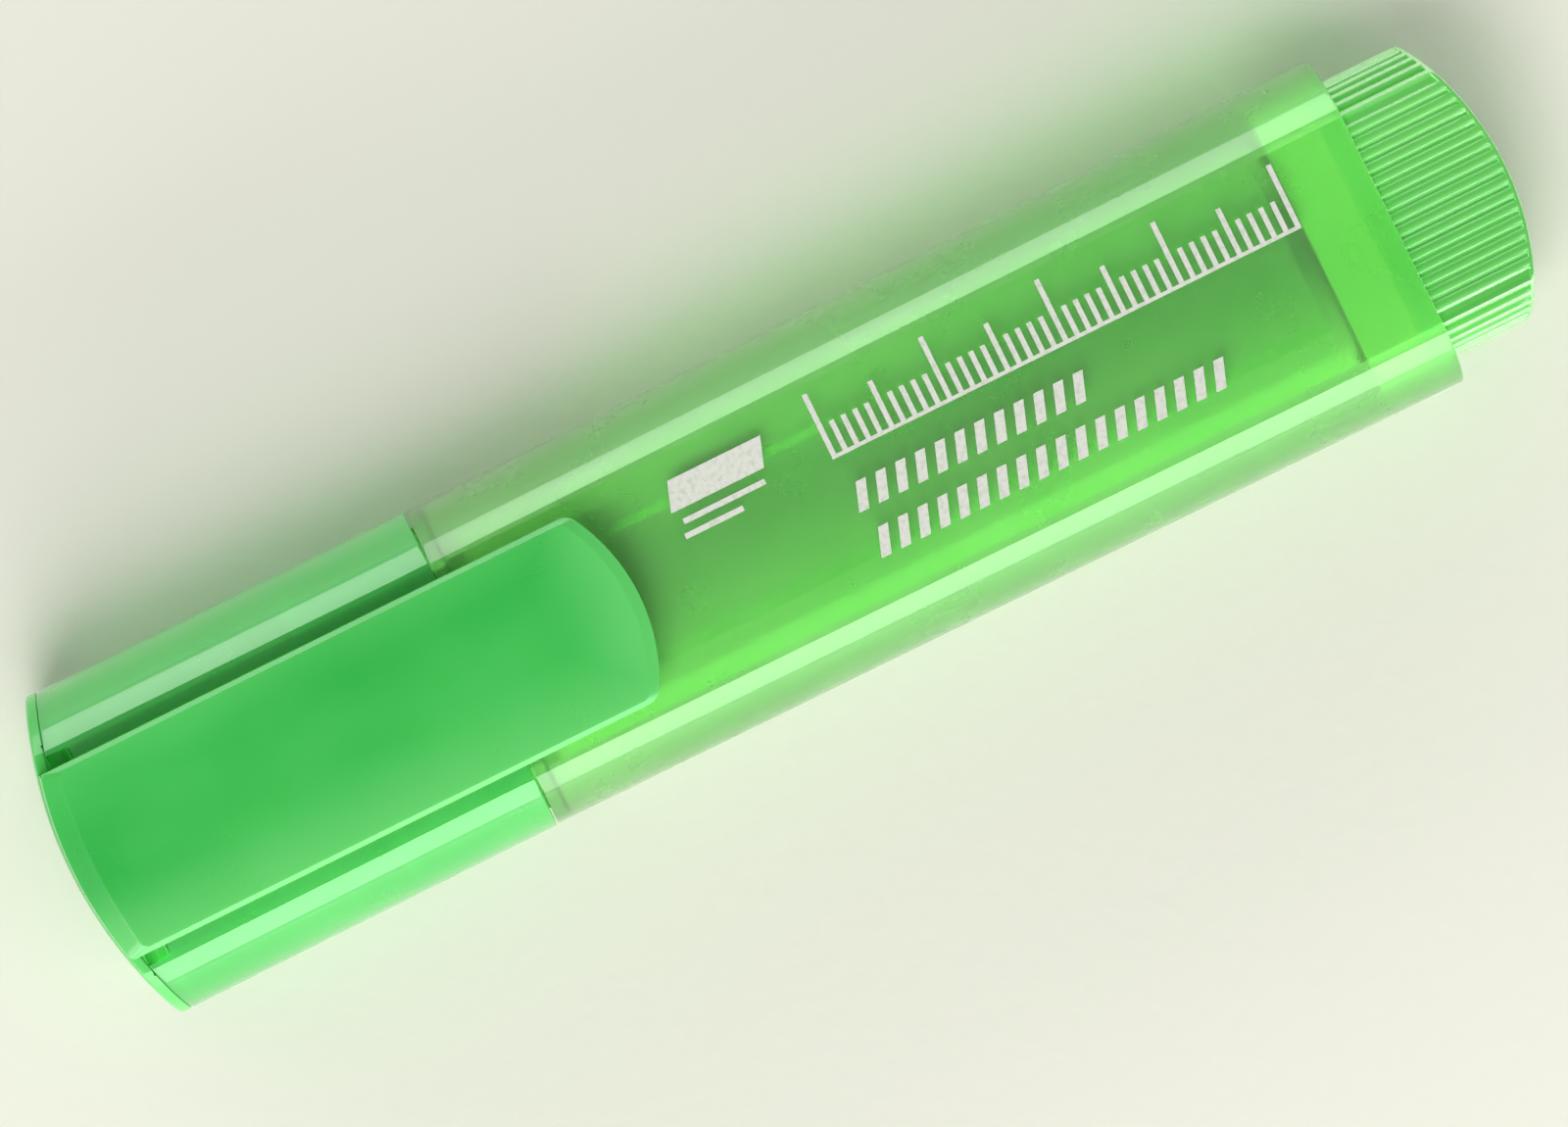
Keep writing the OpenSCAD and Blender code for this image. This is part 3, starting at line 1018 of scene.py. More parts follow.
@dataclass
class BarrelAssembly:
    """The barrel, the nib section with its nib, and the reservoir."""

    wall: float = 1.15 * MM
    neck_gap: float = 0.25 * MM
    push_gap: float = 0.04 * MM
    draft: float = 0.3
    bead_h: float = 0.2 * MM
    bead_l: float = 1.2 * MM
    rim_r: float = 0.28 * MM
    rib_wall: float = 0.8 * MM
    rib_y: float = 5.3 * MM
    rib_soft: float = 0.1 * MM
    flange_t: float = 1.4 * MM
    flange_lip: float = 0.2 * MM
    land_r: float = 5.47 * MM
    land_l: float = 6.3 * MM
    snout_step: float = 0.3 * MM
    tip_r: float = 3.85 * MM
    nib_w: float = 5.0 * MM
    nib_t: float = 3.8 * MM
    nib_round: float = 0.45 * MM
    nib_edge: float = 0.5 * MM
    nib_slant: float = 3.1 * MM
    nib_taper: float = 4.0 * MM
    film_t: float = 0.2 * MM
    core_flat: float = 14.6 * MM
    core_round: float = 0.9 * MM
    tail_r: float = 2.5 * MM

    @property
    def neck_depth(self) -> float:
        """How far the neck's outside lies below the barrel's."""
        return self.wall + self.neck_gap

    @property
    def bore_depth(self) -> float:
        """How far the neck's bore lies below the barrel's outside."""
        return self.neck_depth + self.wall

    def build(self) -> list[Piece]:
        """Builds the pieces that ride on the barrel.

        Returns:
            The pieces.
        """
        return [self.shell(), self.section(), self.nib(), self.core(), self.film()]

    def shell(self) -> Piece:
        """The barrel itself: neck, shoulder, walls and rim, with ribs inside for the reservoir.

        Returns:
            The piece.
        """
        at = PLACES
        bead_x = at.mouth_x - 3 * self.bead_l
        neck, soft = self.neck_depth, 0.15 * MM
        outer = [Corner(at.neck_x, neck, 0.3 * MM),
                 Corner(bead_x, neck, soft), Corner(bead_x + 0.35 * self.bead_l, neck - self.bead_h, soft),
                 Corner(bead_x + 0.65 * self.bead_l, neck - self.bead_h, soft),
                 Corner(bead_x + self.bead_l, neck, soft),
                 Corner(at.shoulder_x, neck, soft), Corner(at.shoulder_x, 0, 0.16 * MM),
                 Corner(at.barrel_end_x, 0, self.rim_r), Corner(at.barrel_end_x, self.wall, 0.15 * MM),
                 Corner(at.shoulder_x + self.wall, self.wall, 0.3 * MM),
                 Corner(at.shoulder_x + self.wall, self.bore_depth, 0.2 * MM),
                 Corner(at.neck_x, self.bore_depth, 0.2 * MM)]
        loft = Loft()
        for point in rounded(outer, closed=True):
            ring = loft.oval(OUTSIDE.inset(point.y), point.x)
            if point.y < 0.9 * self.wall and point.x > at.mouth_x:
                lean_out(loft.verts_of(ring), at.shoulder_x, self.draft)
            loft.add(ring)
        loft.join_ends()
        mesh = loft.finished()
        self.add_ribs(mesh)
        piece = Piece("barrel_shell", Body.BARREL, Finishes.barrel, ("barrel",), Slot.BARREL)
        return piece.make(mesh).dress()

    def add_ribs(self, mesh: bmesh.types.BMesh) -> None:
        """Adds the four thin ribs that the reservoir rests between.

        Args:
            mesh: The barrel's mesh.
        """
        at = PLACES
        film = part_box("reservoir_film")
        middle = (at.film_x + at.film_end_x) / 2
        height = film[0].z - self.wall - self.push_gap
        for side_y in (-self.rib_y, self.rib_y):
            for rib_z in (self.wall + height / 2, at.top_z - self.wall - height / 2):
                size = Matrix.Diagonal((at.film_end_x - at.film_x, self.rib_wall, height, 1))
                place = Matrix.Translation((middle, side_y, rib_z)) @ size
                made = bmesh.ops.create_cube(mesh, size=1.0, matrix=place)["verts"]
                edges = list({e for v in made for e in v.link_edges})
                bmesh.ops.bevel(mesh, geom=edges, offset=self.rib_soft, offset_type="OFFSET", segments=2,
                                profile=0.5, affect="EDGES", material=-1)

    def slot_ring(self, loft: Loft, x: float, grow: float = 0.0) -> Ring:
        """A rounded rectangle across the pen, round the nib.

        Args:
            loft: The loft to draw in.
            x: Where it lies along the pen.
            grow: How far it stands outside the nib.

        Returns:
            The ring.
        """
        half_w, half_t, round_r = self.nib_w / 2 + grow, self.nib_t / 2 + grow, self.nib_round
        mid = PLACES.mid_z
        outline = Outline(Vector((x, 0, mid + half_t)))
        outline.line(Vector((x, half_w - round_r, mid + half_t)), 3)
        outline.arc(Vector((x, half_w - round_r, mid + half_t - round_r)), X_AXIS, -math.pi / 2, 5)
        outline.line(Vector((x, half_w, mid - half_t + round_r)), 3)
        outline.arc(Vector((x, half_w - round_r, mid - half_t + round_r)), X_AXIS, -math.pi / 2, 5)
        return loft.adopt(outline.line(Vector((x, 0, mid - half_t)), 3).close())

    def section(self) -> Piece:
        """The nib section: a plug in the neck, a flange, a round land and a tapered snout.

        Returns:
            The piece.
        """
        at = PLACES
        plug_depth = self.bore_depth + self.push_gap
        lip_depth = self.neck_depth + self.flange_lip
        flange_x = at.neck_x - self.flange_t
        land_x = flange_x - self.land_l
        snout_r, tip_r, soft = self.land_r - self.snout_step, self.tip_r, 0.25 * MM
        stop_x = at.neck_x + self.flange_t
        loft = Loft()
        round_part = rounded([Corner(at.snout_x, tip_r - 0.5 * MM), Corner(at.snout_x, tip_r, soft),
                              Corner(land_x, snout_r, 0.1 * MM), Corner(land_x, self.land_r, 0.12 * MM),
                              Corner(flange_x, self.land_r, 0.5 * MM),
                              Corner(flange_x, self.land_r + 0.6 * MM)], closed=False)
        oval_part = rounded([Corner(flange_x, lip_depth + 0.6 * MM), Corner(flange_x, lip_depth, soft),
                             Corner(at.neck_x, lip_depth, soft), Corner(at.neck_x, plug_depth),
                             Corner(at.section_end_x, plug_depth, soft),
                             Corner(at.section_end_x, plug_depth + self.wall, soft),
                             Corner(stop_x, plug_depth + self.wall, soft),
                             Corner(stop_x, plug_depth + self.wall + 0.5 * MM)], closed=False)
        for point in round_part:
            loft.add(loft.circle(point.y, point.x, at.mid_z))
        for point in oval_part:
            loft.add(loft.oval(OUTSIDE.inset(point.y), point.x))
        for x in (stop_x, at.section_end_x):
            loft.add(loft.circle(tip_r, x, at.mid_z))
        for x in (at.section_end_x, at.snout_x):
            loft.add(self.slot_ring(loft, x, self.push_gap))
        loft.join_ends()
        piece = Piece("nib_section", Body.BARREL, Finishes.section, ("nib_section",), Slot.SECTION)
        return piece.make(loft.finished()).dress()

    def nib(self) -> Piece:
        """The felt bar with its slanted chisel edge.

        Returns:
            The piece.
        """
        at = PLACES
        half_t = self.nib_t / 2
        loft = Loft()
        for share, blunt in ((0.0, 0.6), (0.06, 0.92), (0.2, 1.0), (1.0, 1.0)):
            ring = self.slot_ring(loft, at.nib_x + share * self.nib_taper)
            for vert in loft.verts_of(ring):
                across = vert.co.y / self.nib_w + 0.5
                thin = (self.nib_edge + (half_t - self.nib_edge) * share) / half_t
                vert.co.z = at.mid_z + (vert.co.z - at.mid_z) * thin * blunt
                vert.co.x += (1 - share) * self.nib_slant * across
            loft.add(ring)
        loft.fill(loft.first)
        for x, share in ((at.nib_end_x - 1 * MM, 1.0), (at.nib_end_x - 0.3 * MM, 0.85), (at.nib_end_x, 0.6)):
            loft.add(loft.shrink(self.slot_ring(loft, x), share, at.mid_z))
        loft.cap_off()
        piece = Piece("nib", Body.BARREL, Finishes.felt, ("nib",), Slot.FELT, crease=50)
        return piece.make(loft.finished()).dress()

    def core_section(self, grow: float = 0.0) -> Section:
        """The reservoir core's section.

        Args:
            grow: How far outside the core.

        Returns:
            The section.
        """
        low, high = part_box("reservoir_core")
        wide, high_t = high.y - low.y + 2 * grow, high.z - low.z + 2 * grow
        return Section(wide, high_t, self.core_flat, PLACES.mid_z)

    def core(self) -> Piece:
        """The fibre core with its rounded tail.

        Returns:
            The piece.
        """
        at = PLACES
        end_x = at.spigot_x - 0.1 * MM
        fibre = self.core_section()
        loft = Loft()
        loft.add(loft.shrink(loft.oval(fibre, at.core_x), 0.4, at.mid_z))
        loft.fill(loft.first)
        for point in rounded([Corner(at.core_x, 2 * MM), Corner(at.core_x, 0, self.core_round),
                              Corner(end_x, 0, self.core_round), Corner(end_x, 2 * MM)], closed=False):
            share = 1 - point.y / (fibre.thickness / 2)
            loft.add(loft.shrink(loft.oval(fibre, point.x), share, at.mid_z))
        tail = [(end_x, 1.3), (end_x + 0.35 * MM, 1.03), (end_x + 1.2 * MM, 1.0),
                (at.tail_end_x - 0.8 * MM, 0.94), (at.tail_end_x - 0.2 * MM, 0.72), (at.tail_end_x, 0.45)]
        for x, share in tail:
            loft.add(loft.circle(self.tail_r * share, x, at.mid_z))
        loft.cap_off()
        piece = Piece("reservoir_core", Body.BARREL, Finishes.fibre, ("reservoir_core",), Slot.FIBRE,
                      crease=50)
        return piece.make(loft.finished()).dress()

    def film(self) -> Piece:
        """The clear film round the core.

        Returns:
            The piece.
        """
        at = PLACES
        loft = Loft()
        inside, outside = self.push_gap, self.push_gap + self.film_t
        for x, grow in ((at.film_x, outside), (at.film_end_x, outside), (at.film_end_x, inside),
                        (at.film_x, inside)):
            loft.add(loft.oval(self.core_section(grow), x))
        loft.join_ends()
        piece = Piece("reservoir_film", Body.BARREL, Finishes.film, ("reservoir_film",), Slot.FILM)
        return piece.make(loft.finished()).dress()


# ---------------------------------------------------------------- print


@dataclass
class PrintMarks:
    """The white print on the barrel's top: a stroke sign, a millimetre scale and two rows of dashes."""

    ink_t: float = 0.02 * MM
    slant: float = 0.35
    left_x: float = 5.0 * MM
    scale_l: float = 40.0 * MM
    scale_y: float = 2.6 * MM
    dash_l: float = 0.85 * MM
    dash_gap: float = 0.85 * MM
    dash_h: float = 2.3 * MM
    line_t: float = 0.3 * MM
    tick_t: float = 0.42 * MM
    sign_x: float = 18.5 * MM
    mesh: bmesh.types.BMesh = field(default_factory=bmesh.new)

    def build(self) -> list[Piece]:
        """Prints every mark.

        Returns:
            The piece.
        """
        self.sign()
        self.scale()
        self.dashes(-2.0 * MM, 12)
        self.dashes(-5.9 * MM, 18)
        piece = Piece("print_marks", Body.BARREL, Finishes.ink)
        return [piece.make(self.mesh).dress()]

    def mark(self, x: float, y: float, length: float, height: float, slant: float = 0.0) -> None:
        """Prints one bar.

        Args:
            x: Its lower left corner along the pen.
            y: Its lower left corner across the pen.
            length: Its length along the pen.
            height: Its height across the pen.
            slant: How far its top leans along the pen, as a share of its height.
        """
        z = PLACES.top_z + self.ink_t / 2
        size = Matrix.Diagonal((length, height, self.ink_t, 1))
        shear = Matrix.Identity(4)
        shear[0][1] = slant
        place = Matrix.Translation((x + length / 2 + slant * height / 2, y + height / 2, z))
        bmesh.ops.create_cube(self.mesh, size=1.0, matrix=place @ shear @ size)

    def sign(self) -> None:
        """A sign of a chisel stroke over two written lines."""
        x = PLACES.mouth_x + self.sign_x
        self.mark(x, 4.4 * MM, 8.0 * MM, 2.4 * MM, self.slant)
        self.mark(x + 0.6 * MM, 3.2 * MM, 7.0 * MM, 0.45 * MM)
        self.mark(x + 0.2 * MM, 2.1 * MM, 5.0 * MM, 0.45 * MM)

    def scale(self) -> None:
        """A scale with a tick for each millimetre, longer at each fifth and tenth."""
        self.mark(self.left_x, self.scale_y, self.scale_l + self.tick_t, self.line_t)
        for tick in range(int(self.scale_l / MM) + 1):
            height = 5.2 if tick % 10 == 0 else 3.9 if tick % 5 == 0 else 2.5
            x, y = self.left_x + tick * MM, self.scale_y + self.line_t
            self.mark(x, y, self.tick_t, height * MM)

    def dashes(self, y: float, count: int) -> None:
        """A row of slanted dashes.

        Args:
            y: The row's lower edge.
            count: How many dashes.
        """
        for index in range(count):
            x = self.left_x + index * (self.dash_l + self.dash_gap)
            self.mark(x, y, self.dash_l, self.dash_h, self.slant)


# ---------------------------------------------------------------- end plug


@dataclass
class EndPlug:
    """The ribbed end plug with its collar and hollow spigot."""

    wall: float = 1.15 * MM
    fit_gap: float = 0.1 * MM
    head_step: float = 1.65 * MM
    rib_pitch: float = 1.085 * MM
    rib_h: float = 0.3 * MM
    rim_t: float = 0.3 * MM
    collar_l: float = 1.7 * MM
    plug_wall: float = 1.2 * MM
    rib_cuts: int = 7

    def build(self) -> list[Piece]:
        """Builds the plug.

        Returns:
            The piece.
        """
        at = PLACES
        loft = Loft()
        ribs = OUTSIDE.inset(self.head_step + self.rib_h)
        loft.flat_cuts = round(ribs.flat / 2 / self.rib_pitch * (self.rib_cuts + 1))
        loft.arc_steps = 2 * round(ribs.swing * ribs.side_radius / self.rib_pitch) * (self.rib_cuts + 1)
        self.head(loft)
        head_bottom = self.head_step + self.rib_h
        collar_x = at.barrel_end_x - self.collar_l
        collar, spigot = self.wall + self.fit_gap, self.wall + 2 * self.fit_gap
        soft = 0.15 * MM
        bore, stop_x = head_bottom + self.plug_wall, at.plug_end_x - 5 * self.plug_wall
        rest = rounded([Corner(at.barrel_end_x, head_bottom - 0.1 * MM),
                        Corner(at.barrel_end_x, collar, soft), Corner(collar_x, collar, soft),
                        Corner(collar_x, spigot), Corner(at.spigot_x, spigot, soft),
                        Corner(at.spigot_x, bore, soft), Corner(stop_x, bore, 0.5 * MM),
                        Corner(stop_x, head_bottom + 3 * self.plug_wall)], closed=False)
        for point in rest:
            loft.add(loft.oval(OUTSIDE.inset(point.y), point.x))
        loft.cap_off()
        piece = Piece("end_plug", Body.END_PLUG, Finishes.plug, ("end_plug",), Slot.PLUG, crease=40)
        return [piece.make(loft.finished()).dress()]

    def head(self, loft: Loft) -> None:
        """The domed head, from the middle of its end out over the rim and back along the ribs.

        Args:
            loft: The loft to draw in.
        """
        at = PLACES
        for share in (0.12, 0.4, 0.7, 0.9, 0.97):
            self.domed_ring(loft, 0.0, 0.0, share)
        loft.fill(loft.first)
        for depth, sink in ((0.02, 0.14), (0.1, 0.03), (0.22, 0.0)):
            self.domed_ring(loft, depth * MM, -sink * MM)
        self.domed_ring(loft, self.rim_t, 0.0)
        for straight in (0.0, 0.15, 0.4, 0.65, 0.9):
            self.domed_ring(loft, self.rim_t + 0.12 * MM, 0.0, ribbed=True, straight=straight)
        loft.add(self.ribbed_oval(loft, at.barrel_end_x, 0.0, True))

    def domed_ring(self, loft: Loft, depth: float, grow: float, share: float = 1.0, ribbed: bool = False,
                   straight: float = 0.0) -> None:
        """Adds a ring that follows the plug's dome.

        Args:
            loft: The loft to draw in.
            depth: How far inside the dome.
            grow: How far outside the ribs' tops.
            share: The ring's scale.
            ribbed: Whether it shows the ribs.
            straight: How far it has moved from the dome to the barrel's flat end, from 0 to 1.
        """
        at = PLACES
        ring = self.ribbed_oval(loft, at.plug_end_x, grow, ribbed)
        if share < 1:
            loft.shrink(ring, share, at.mid_z)
        for vert in loft.verts_of(ring):
            on_dome = PLUG_DOME.x(vert.co.y, vert.co.z, depth)
            vert.co.x = on_dome + (at.barrel_end_x - on_dome) * straight
        loft.add(ring)

    def ribbed_oval(self, loft: Loft, x: float, grow: float, ribbed: bool) -> Ring:
        """A flat oval with a rib at each pitch of its outline.

        Args:
            loft: The loft to draw in.
            x: Where it lies along the pen.
            grow: How far outside the ribs' tops.
            ribbed: Whether it shows the ribs.

        Returns:
            The ring.
        """
        section = OUTSIDE.inset(self.head_step + self.rib_h)
        rows = math.floor(section.flat / 2 / self.rib_pitch)
        fan = round(section.swing * section.side_radius / self.rib_pitch)
        ring = loft.oval(section, x)
        turn = section.swing / (fan + 0.25)
        for vert in loft.verts_of(ring):
            y, z = vert.co.y, vert.co.z - section.mid_z
            on_flat = abs(y) <= section.flat / 2 + 1e-6
            if on_flat:
                normal = Vector((0, 0, math.copysign(1, z)))
                phase = y / self.rib_pitch
                phase = phase - round(max(-rows, min(rows, phase)))
            else:
                axis_y = math.copysign(section.axis_y, y)
                normal = Vector((0, y - axis_y, z)).normalized()
                angle = math.atan2(z, abs(y) - section.axis_y) / turn
                phase = angle - round(max(-fan, min(fan, angle)))
            out = self.rib_height(phase) if ribbed else self.rib_h
            vert.co += normal * (out + grow)
        return ring

    def rib_height(self, phase: float) -> float:
        """How far a rib stands out.

        Args:
            phase: The place across the rib, from -0.5 to 0.5.

        Returns:
            The height.
        """
        radius = self.rib_pitch / 2
        off = min(radius, abs(phase) * self.rib_pitch)
        return max(0.0, math.sqrt(radius ** 2 - off ** 2) - (radius - self.rib_h))


# ---------------------------------------------------------------- cap


@dataclass
class CapAssembly:
    """The cap: its shell, its end cover and the round inner cap."""

    wall: float = 1.15 * MM
    draft: float = 0.5
    mouth_step: float = 0.1 * MM
    cover_t: float = 0.9 * MM
    cover_gap: float = 0.05 * MM
    push_gap: float = 0.04 * MM
    rim_r: float = 0.2 * MM
    notch_half: float = 8.9 * MM
    notch_x: float = PLACES.end_x + 4.3 * MM
    block_top_z: float = 15.1 * MM
    root_x: float = PLACES.end_x + 3.3 * MM
    root_z: float = 14.9 * MM
    groove_r: float = 0.85 * MM
    notch_gap: float = 0.1 * MM
    block_h: float = 1.35 * MM
    inner_r: float = 6.35 * MM
    inner_wall: float = 0.8 * MM

    def build(self) -> list[Piece]:
        """Builds the pieces that ride on the cap.

        Returns:
            The pieces.
        """
        return [self.shell(), self.cover(), self.inner_cap()]

    def ring(self, loft: Loft, x: float, depth: float, on_dome: float | None = None,
             share: float = 1.0) -> None:
        """Adds a ring of the cap.

        Args:
            loft: The loft to draw in.
            x: Where a flat ring lies.
            depth: How far below the outside.
            on_dome: How far inside the dome a domed ring lies, or None for a flat ring.
            share: The ring's scale.
        """
        ring = loft.oval(OUTSIDE.inset(depth), x)
        verts = loft.verts_of(ring)
        if share < 1:
            loft.shrink(ring, share, PLACES.mid_z)
        if on_dome is not None:
            for vert in verts:
                vert.co.x = CAP_DOME.x(vert.co.y, vert.co.z, on_dome)
        if depth < 0.9 * self.wall:
            lean_out(verts, PLACES.mouth_x, self.draft, self.mouth_step)
        loft.add(ring)

    def shell(self) -> Piece:
        """The cap's shell: straight walls from the mouth to the dome, with a notch for the clip's root.

        Returns:
            The piece.
        """
        at = PLACES
        mouth = rounded([Corner(at.mouth_x - 3 * MM, 0), Corner(at.mouth_x, 0, self.rim_r),
                         Corner(at.mouth_x, self.wall, 0.15 * MM),
                         Corner(at.mouth_x - 3 * MM, self.wall)], closed=False)
        back = self.cover_t + self.cover_gap
        loft = Loft()
        for depth, inside in ((0.06, 0.0), (0.015, 0.06), (0.0, 0.15)):
            self.ring(loft, 0.0, depth * MM, back + inside * MM)
        for point in mouth:
            self.ring(loft, point.x, point.y)
        self.ring(loft, 0.0, self.wall, back)
        loft.join_ends()
        piece = Piece("cap_shell", Body.CAP, Finishes.cap, ("cap_shell",), Slot.CAP)
        piece.make(loft.finished())
        boolean(piece.item, self.notch(self.notch_gap, at.top_z - 2 * self.wall, 4 * MM), "DIFFERENCE")
        return piece.dress()

    def notch(self, gap: float, bottom: float, height: float, front: float = -2 * MM) -> bmesh.types.BMesh:
        """A block that fills the opening for the clip's root.

        Args:
            gap: How far it stands outside the cover's own block.
            bottom: Its lower face.
            height: Its height.
            front: Its front face, behind the dome's apex.

        Returns:
            The block.
        """
        mesh = bmesh.new()
        start, end = PLACES.end_x + front, self.notch_x + gap
        size = Matrix.Diagonal((end - start, 2 * (self.notch_half + gap), height, 1))
        place = Matrix.Translation(((start + end) / 2, 0, bottom + height / 2))
        made = bmesh.ops.create_cube(mesh, size=1.0, matrix=place @ size)["verts"]
        upright = [e for e in {e for v in made for e in v.link_edges}
                   if abs(e.verts[0].co.z - e.verts[1].co.z) > MM]
        bmesh.ops.bevel(mesh, geom=upright, offset=0.35 * MM, offset_type="OFFSET", segments=4,
                        profile=0.5, affect="EDGES", material=-1)
        return mesh

    def cover(self) -> Piece:
        """The domed end cover, with a skirt inside the shell and a block under the clip's root.

        Returns:
            The piece.
        """
        at = PLACES
        loft = Loft()
        for share in (0.12, 0.4, 0.7, 0.9):
            self.ring(loft, 0.0, 0.25 * MM, 0.0, share)
        loft.fill(loft.first)
        for depth, inside in ((0.25, 0.0), (0.1, 0.04), (0.03, 0.12), (0.0, 0.25)):
            self.ring(loft, 0.0, depth * MM, inside * MM)
        self.ring(loft, 0.0, 0.0, self.cover_t - 0.08 * MM)
        self.ring(loft, 0.0, 0.08 * MM, self.cover_t)
        skirt = self.wall + self.push_gap
        self.ring(loft, 0.0, skirt, self.cover_t)
        for depth in (skirt + 0.2 * MM, skirt + self.wall - 0.2 * MM):
            self.ring(loft, at.boss_x, depth)
        self.ring(loft, 0.0, skirt + self.wall, self.cover_t)
        for share in (0.8, 0.5, 0.2):
            self.ring(loft, 0.0, skirt + self.wall, self.cover_t, share)
        loft.cap_off()
        piece = Piece("cap_end_cover", Body.CAP, Finishes.clip, ("cap_end_cover",), Slot.CLIP)
        piece.make(loft.finished())
        low = at.top_z - 2 * self.wall
        boolean(piece.item, self.notch(0.0, low, self.block_top_z - low, self.block_h), "UNION")
        groove = bar(self.groove_r, 2 * self.notch_half + 2 * MM, self.root_x, self.root_z)
        boolean(piece.item, groove, "DIFFERENCE")
        return piece.dress()

    def inner_cap(self) -> Piece:
        """The round cup that seals over the nib.

        Returns:
            The piece.
        """
        at = PLACES
        floor_x = at.boss_x + self.inner_wall
        bore = self.inner_r - self.inner_wall
        loft = Loft()
        loft.flat_cuts, loft.arc_steps = 3, 24
        profile = rounded([Corner(at.boss_x, 1 * MM), Corner(at.boss_x, self.inner_r, 0.4 * MM),
                           Corner(at.inner_cap_end_x, self.inner_r, 0.25 * MM),
                           Corner(at.inner_cap_end_x, bore, 0.25 * MM),
                           Corner(floor_x, bore, 0.5 * MM), Corner(floor_x, 1 * MM)], closed=False)
        for point in profile:
            loft.add(loft.circle(point.y, point.x, at.mid_z))
        loft.fill(loft.first)
        loft.cap_off()
        piece = Piece("inner_cap", Body.CAP, Finishes.inner_cap, ("inner_cap",), Slot.INNER_CAP)
        return piece.make(loft.finished()).dress()


# ---------------------------------------------------------------- clip


@dataclass
class Clip:
    """The pocket clip: a bevelled leaf on a short web, with a grip ridge under its tip."""

    half_w: float = 7.95 * MM
    leaf_t: float = 1.7 * MM
    tip_r: float = 15.0 * MM
    corner_r: float = 1.4 * MM
    side_bevel: float = 0.42 * MM
    tip_bevel: float = 0.9 * MM
    root_bevel: float = 1.6 * MM
    bevel_h: float = 0.34 * MM
    web_low_z: float = 15.35 * MM
    web_l: float = 4.1 * MM
    web_round: float = 1.08 * MM
    root_x: float = PLACES.end_x + 3.3 * MM
    root_z: float = 14.9 * MM
    root_r: float = 0.8 * MM
    ridge_r: float = 1.5 * MM
    ridge_back: float = 3.5 * MM
    ridge_step: float = 3.0 * MM
    ridge_sink: float = 0.05 * MM
    soft: float = 0.12 * MM
    web_inset: float = 0.06 * MM

    def outline(self, loft: Loft, z: float, side: float, tip: float, root: float) -> Ring:
        """The leaf seen from above, moved in by its own distance at its sides, tip and root.

        Args:
            loft: The loft to draw in.
            z: The outline's height.
            side: How far in at the sides.
            tip: How far in at the tip.
            root: How far in at the root.

        Returns:
            The ring.
        """
        at = PLACES
        half = self.half_w - side
        corner_r = max(0.35 * MM, self.corner_r - (side + tip) / 2)
        tip_x = at.clip_tip_x - tip
        centre = Vector((tip_x - self.tip_r, 0, z))
        inner_r = self.tip_r - corner_r
        spread = math.asin((half - corner_r) / inner_r)
        corner = centre + Vector((inner_r * math.cos(spread), half - corner_r, 0))
        dome = replace(CAP_DOME, plan_radius=CAP_DOME.plan_radius * (1 + root / (4 * MM)))
        outline = Outline(Vector((tip_x, 0, z)))
        outline.arc(centre, Z_AXIS, spread, 10)
        outline.arc(corner, Z_AXIS, math.pi / 2 - spread, 8)
        root_y = half - 0.3 * MM
        outline.line(Vector((dome.x(half, z, root + 0.3 * MM), half, z)), 14)
        outline.line(Vector((dome.x(root_y, z, root), root_y, z)))
        outline.line(Vector((dome.x(0, z, root), 0, z)), 11)
        ring = loft.adopt(outline.close())
        for vert in loft.verts_of(ring):
            if vert.co.x < at.end_x + 4 * MM and abs(vert.co.y) < root_y - 1e-6:
                vert.co.x = dome.x(vert.co.y, z, root)
        return ring

    def build(self) -> list[Piece]:
        """Builds the clip.

        Returns:
            The piece.
        """
        top, bottom = PLACES.clip_top_z, PLACES.clip_top_z - self.leaf_t
        loft = Loft()
        for z, inward in ((bottom, 0.15 * MM), (bottom + 0.05 * MM, 0.05 * MM), (bottom + 0.15 * MM, 0.0),
                          (top - self.bevel_h - self.soft, 0.0), (top - self.bevel_h - 0.03 * MM, 0.02 * MM)):
            loft.add(self.outline(loft, z, inward, inward, inward))
        loft.fill(loft.first)
        for drop, share in ((0.92, 0.12), (0.12, 0.9), (0.03, 0.97), (0.0, 1.08)):
            loft.add(self.outline(loft, top - drop * self.bevel_h, share * self.side_bevel,
                                  share * self.tip_bevel, share * self.root_bevel))
        loft.cap_off()
        piece = Piece("clip", Body.CLIP, Finishes.clip, ("clip",), Slot.CLIP, crease=34).make(loft.finished())
        boolean(piece.item, self.web(bottom), "UNION")
        root = bar(self.root_r, 2 * self.half_w - 0.3 * MM, self.root_x, self.root_z)
        boolean(piece.item, root, "UNION")
        boolean(piece.item, self.ridge(bottom), "UNION")
        return [piece.dress()]

    def web(self, bottom: float) -> bmesh.types.BMesh:
        """The short block under the leaf's root, with a round fillet in its corner.

        Args:
            bottom: The leaf's lower face.

        Returns:
            The block.
        """
        loft = Loft()
        back_x = PLACES.end_x + self.web_l
        inside, steps = 0.2 * MM, 6
        levels = [(self.web_low_z, 0.0)]
        for step in range(steps + 1):
            turn = math.pi / 2 * step / steps
            levels.append((bottom - self.web_round * math.cos(turn), self.web_round * math.sin(turn)))
        for z, reach in levels + [(bottom + inside, self.web_round)]:
            loft.add(self.web_ring(loft, z, back_x + reach))
        loft.fill(loft.first)
        loft.cap_off()
        return loft.finished()

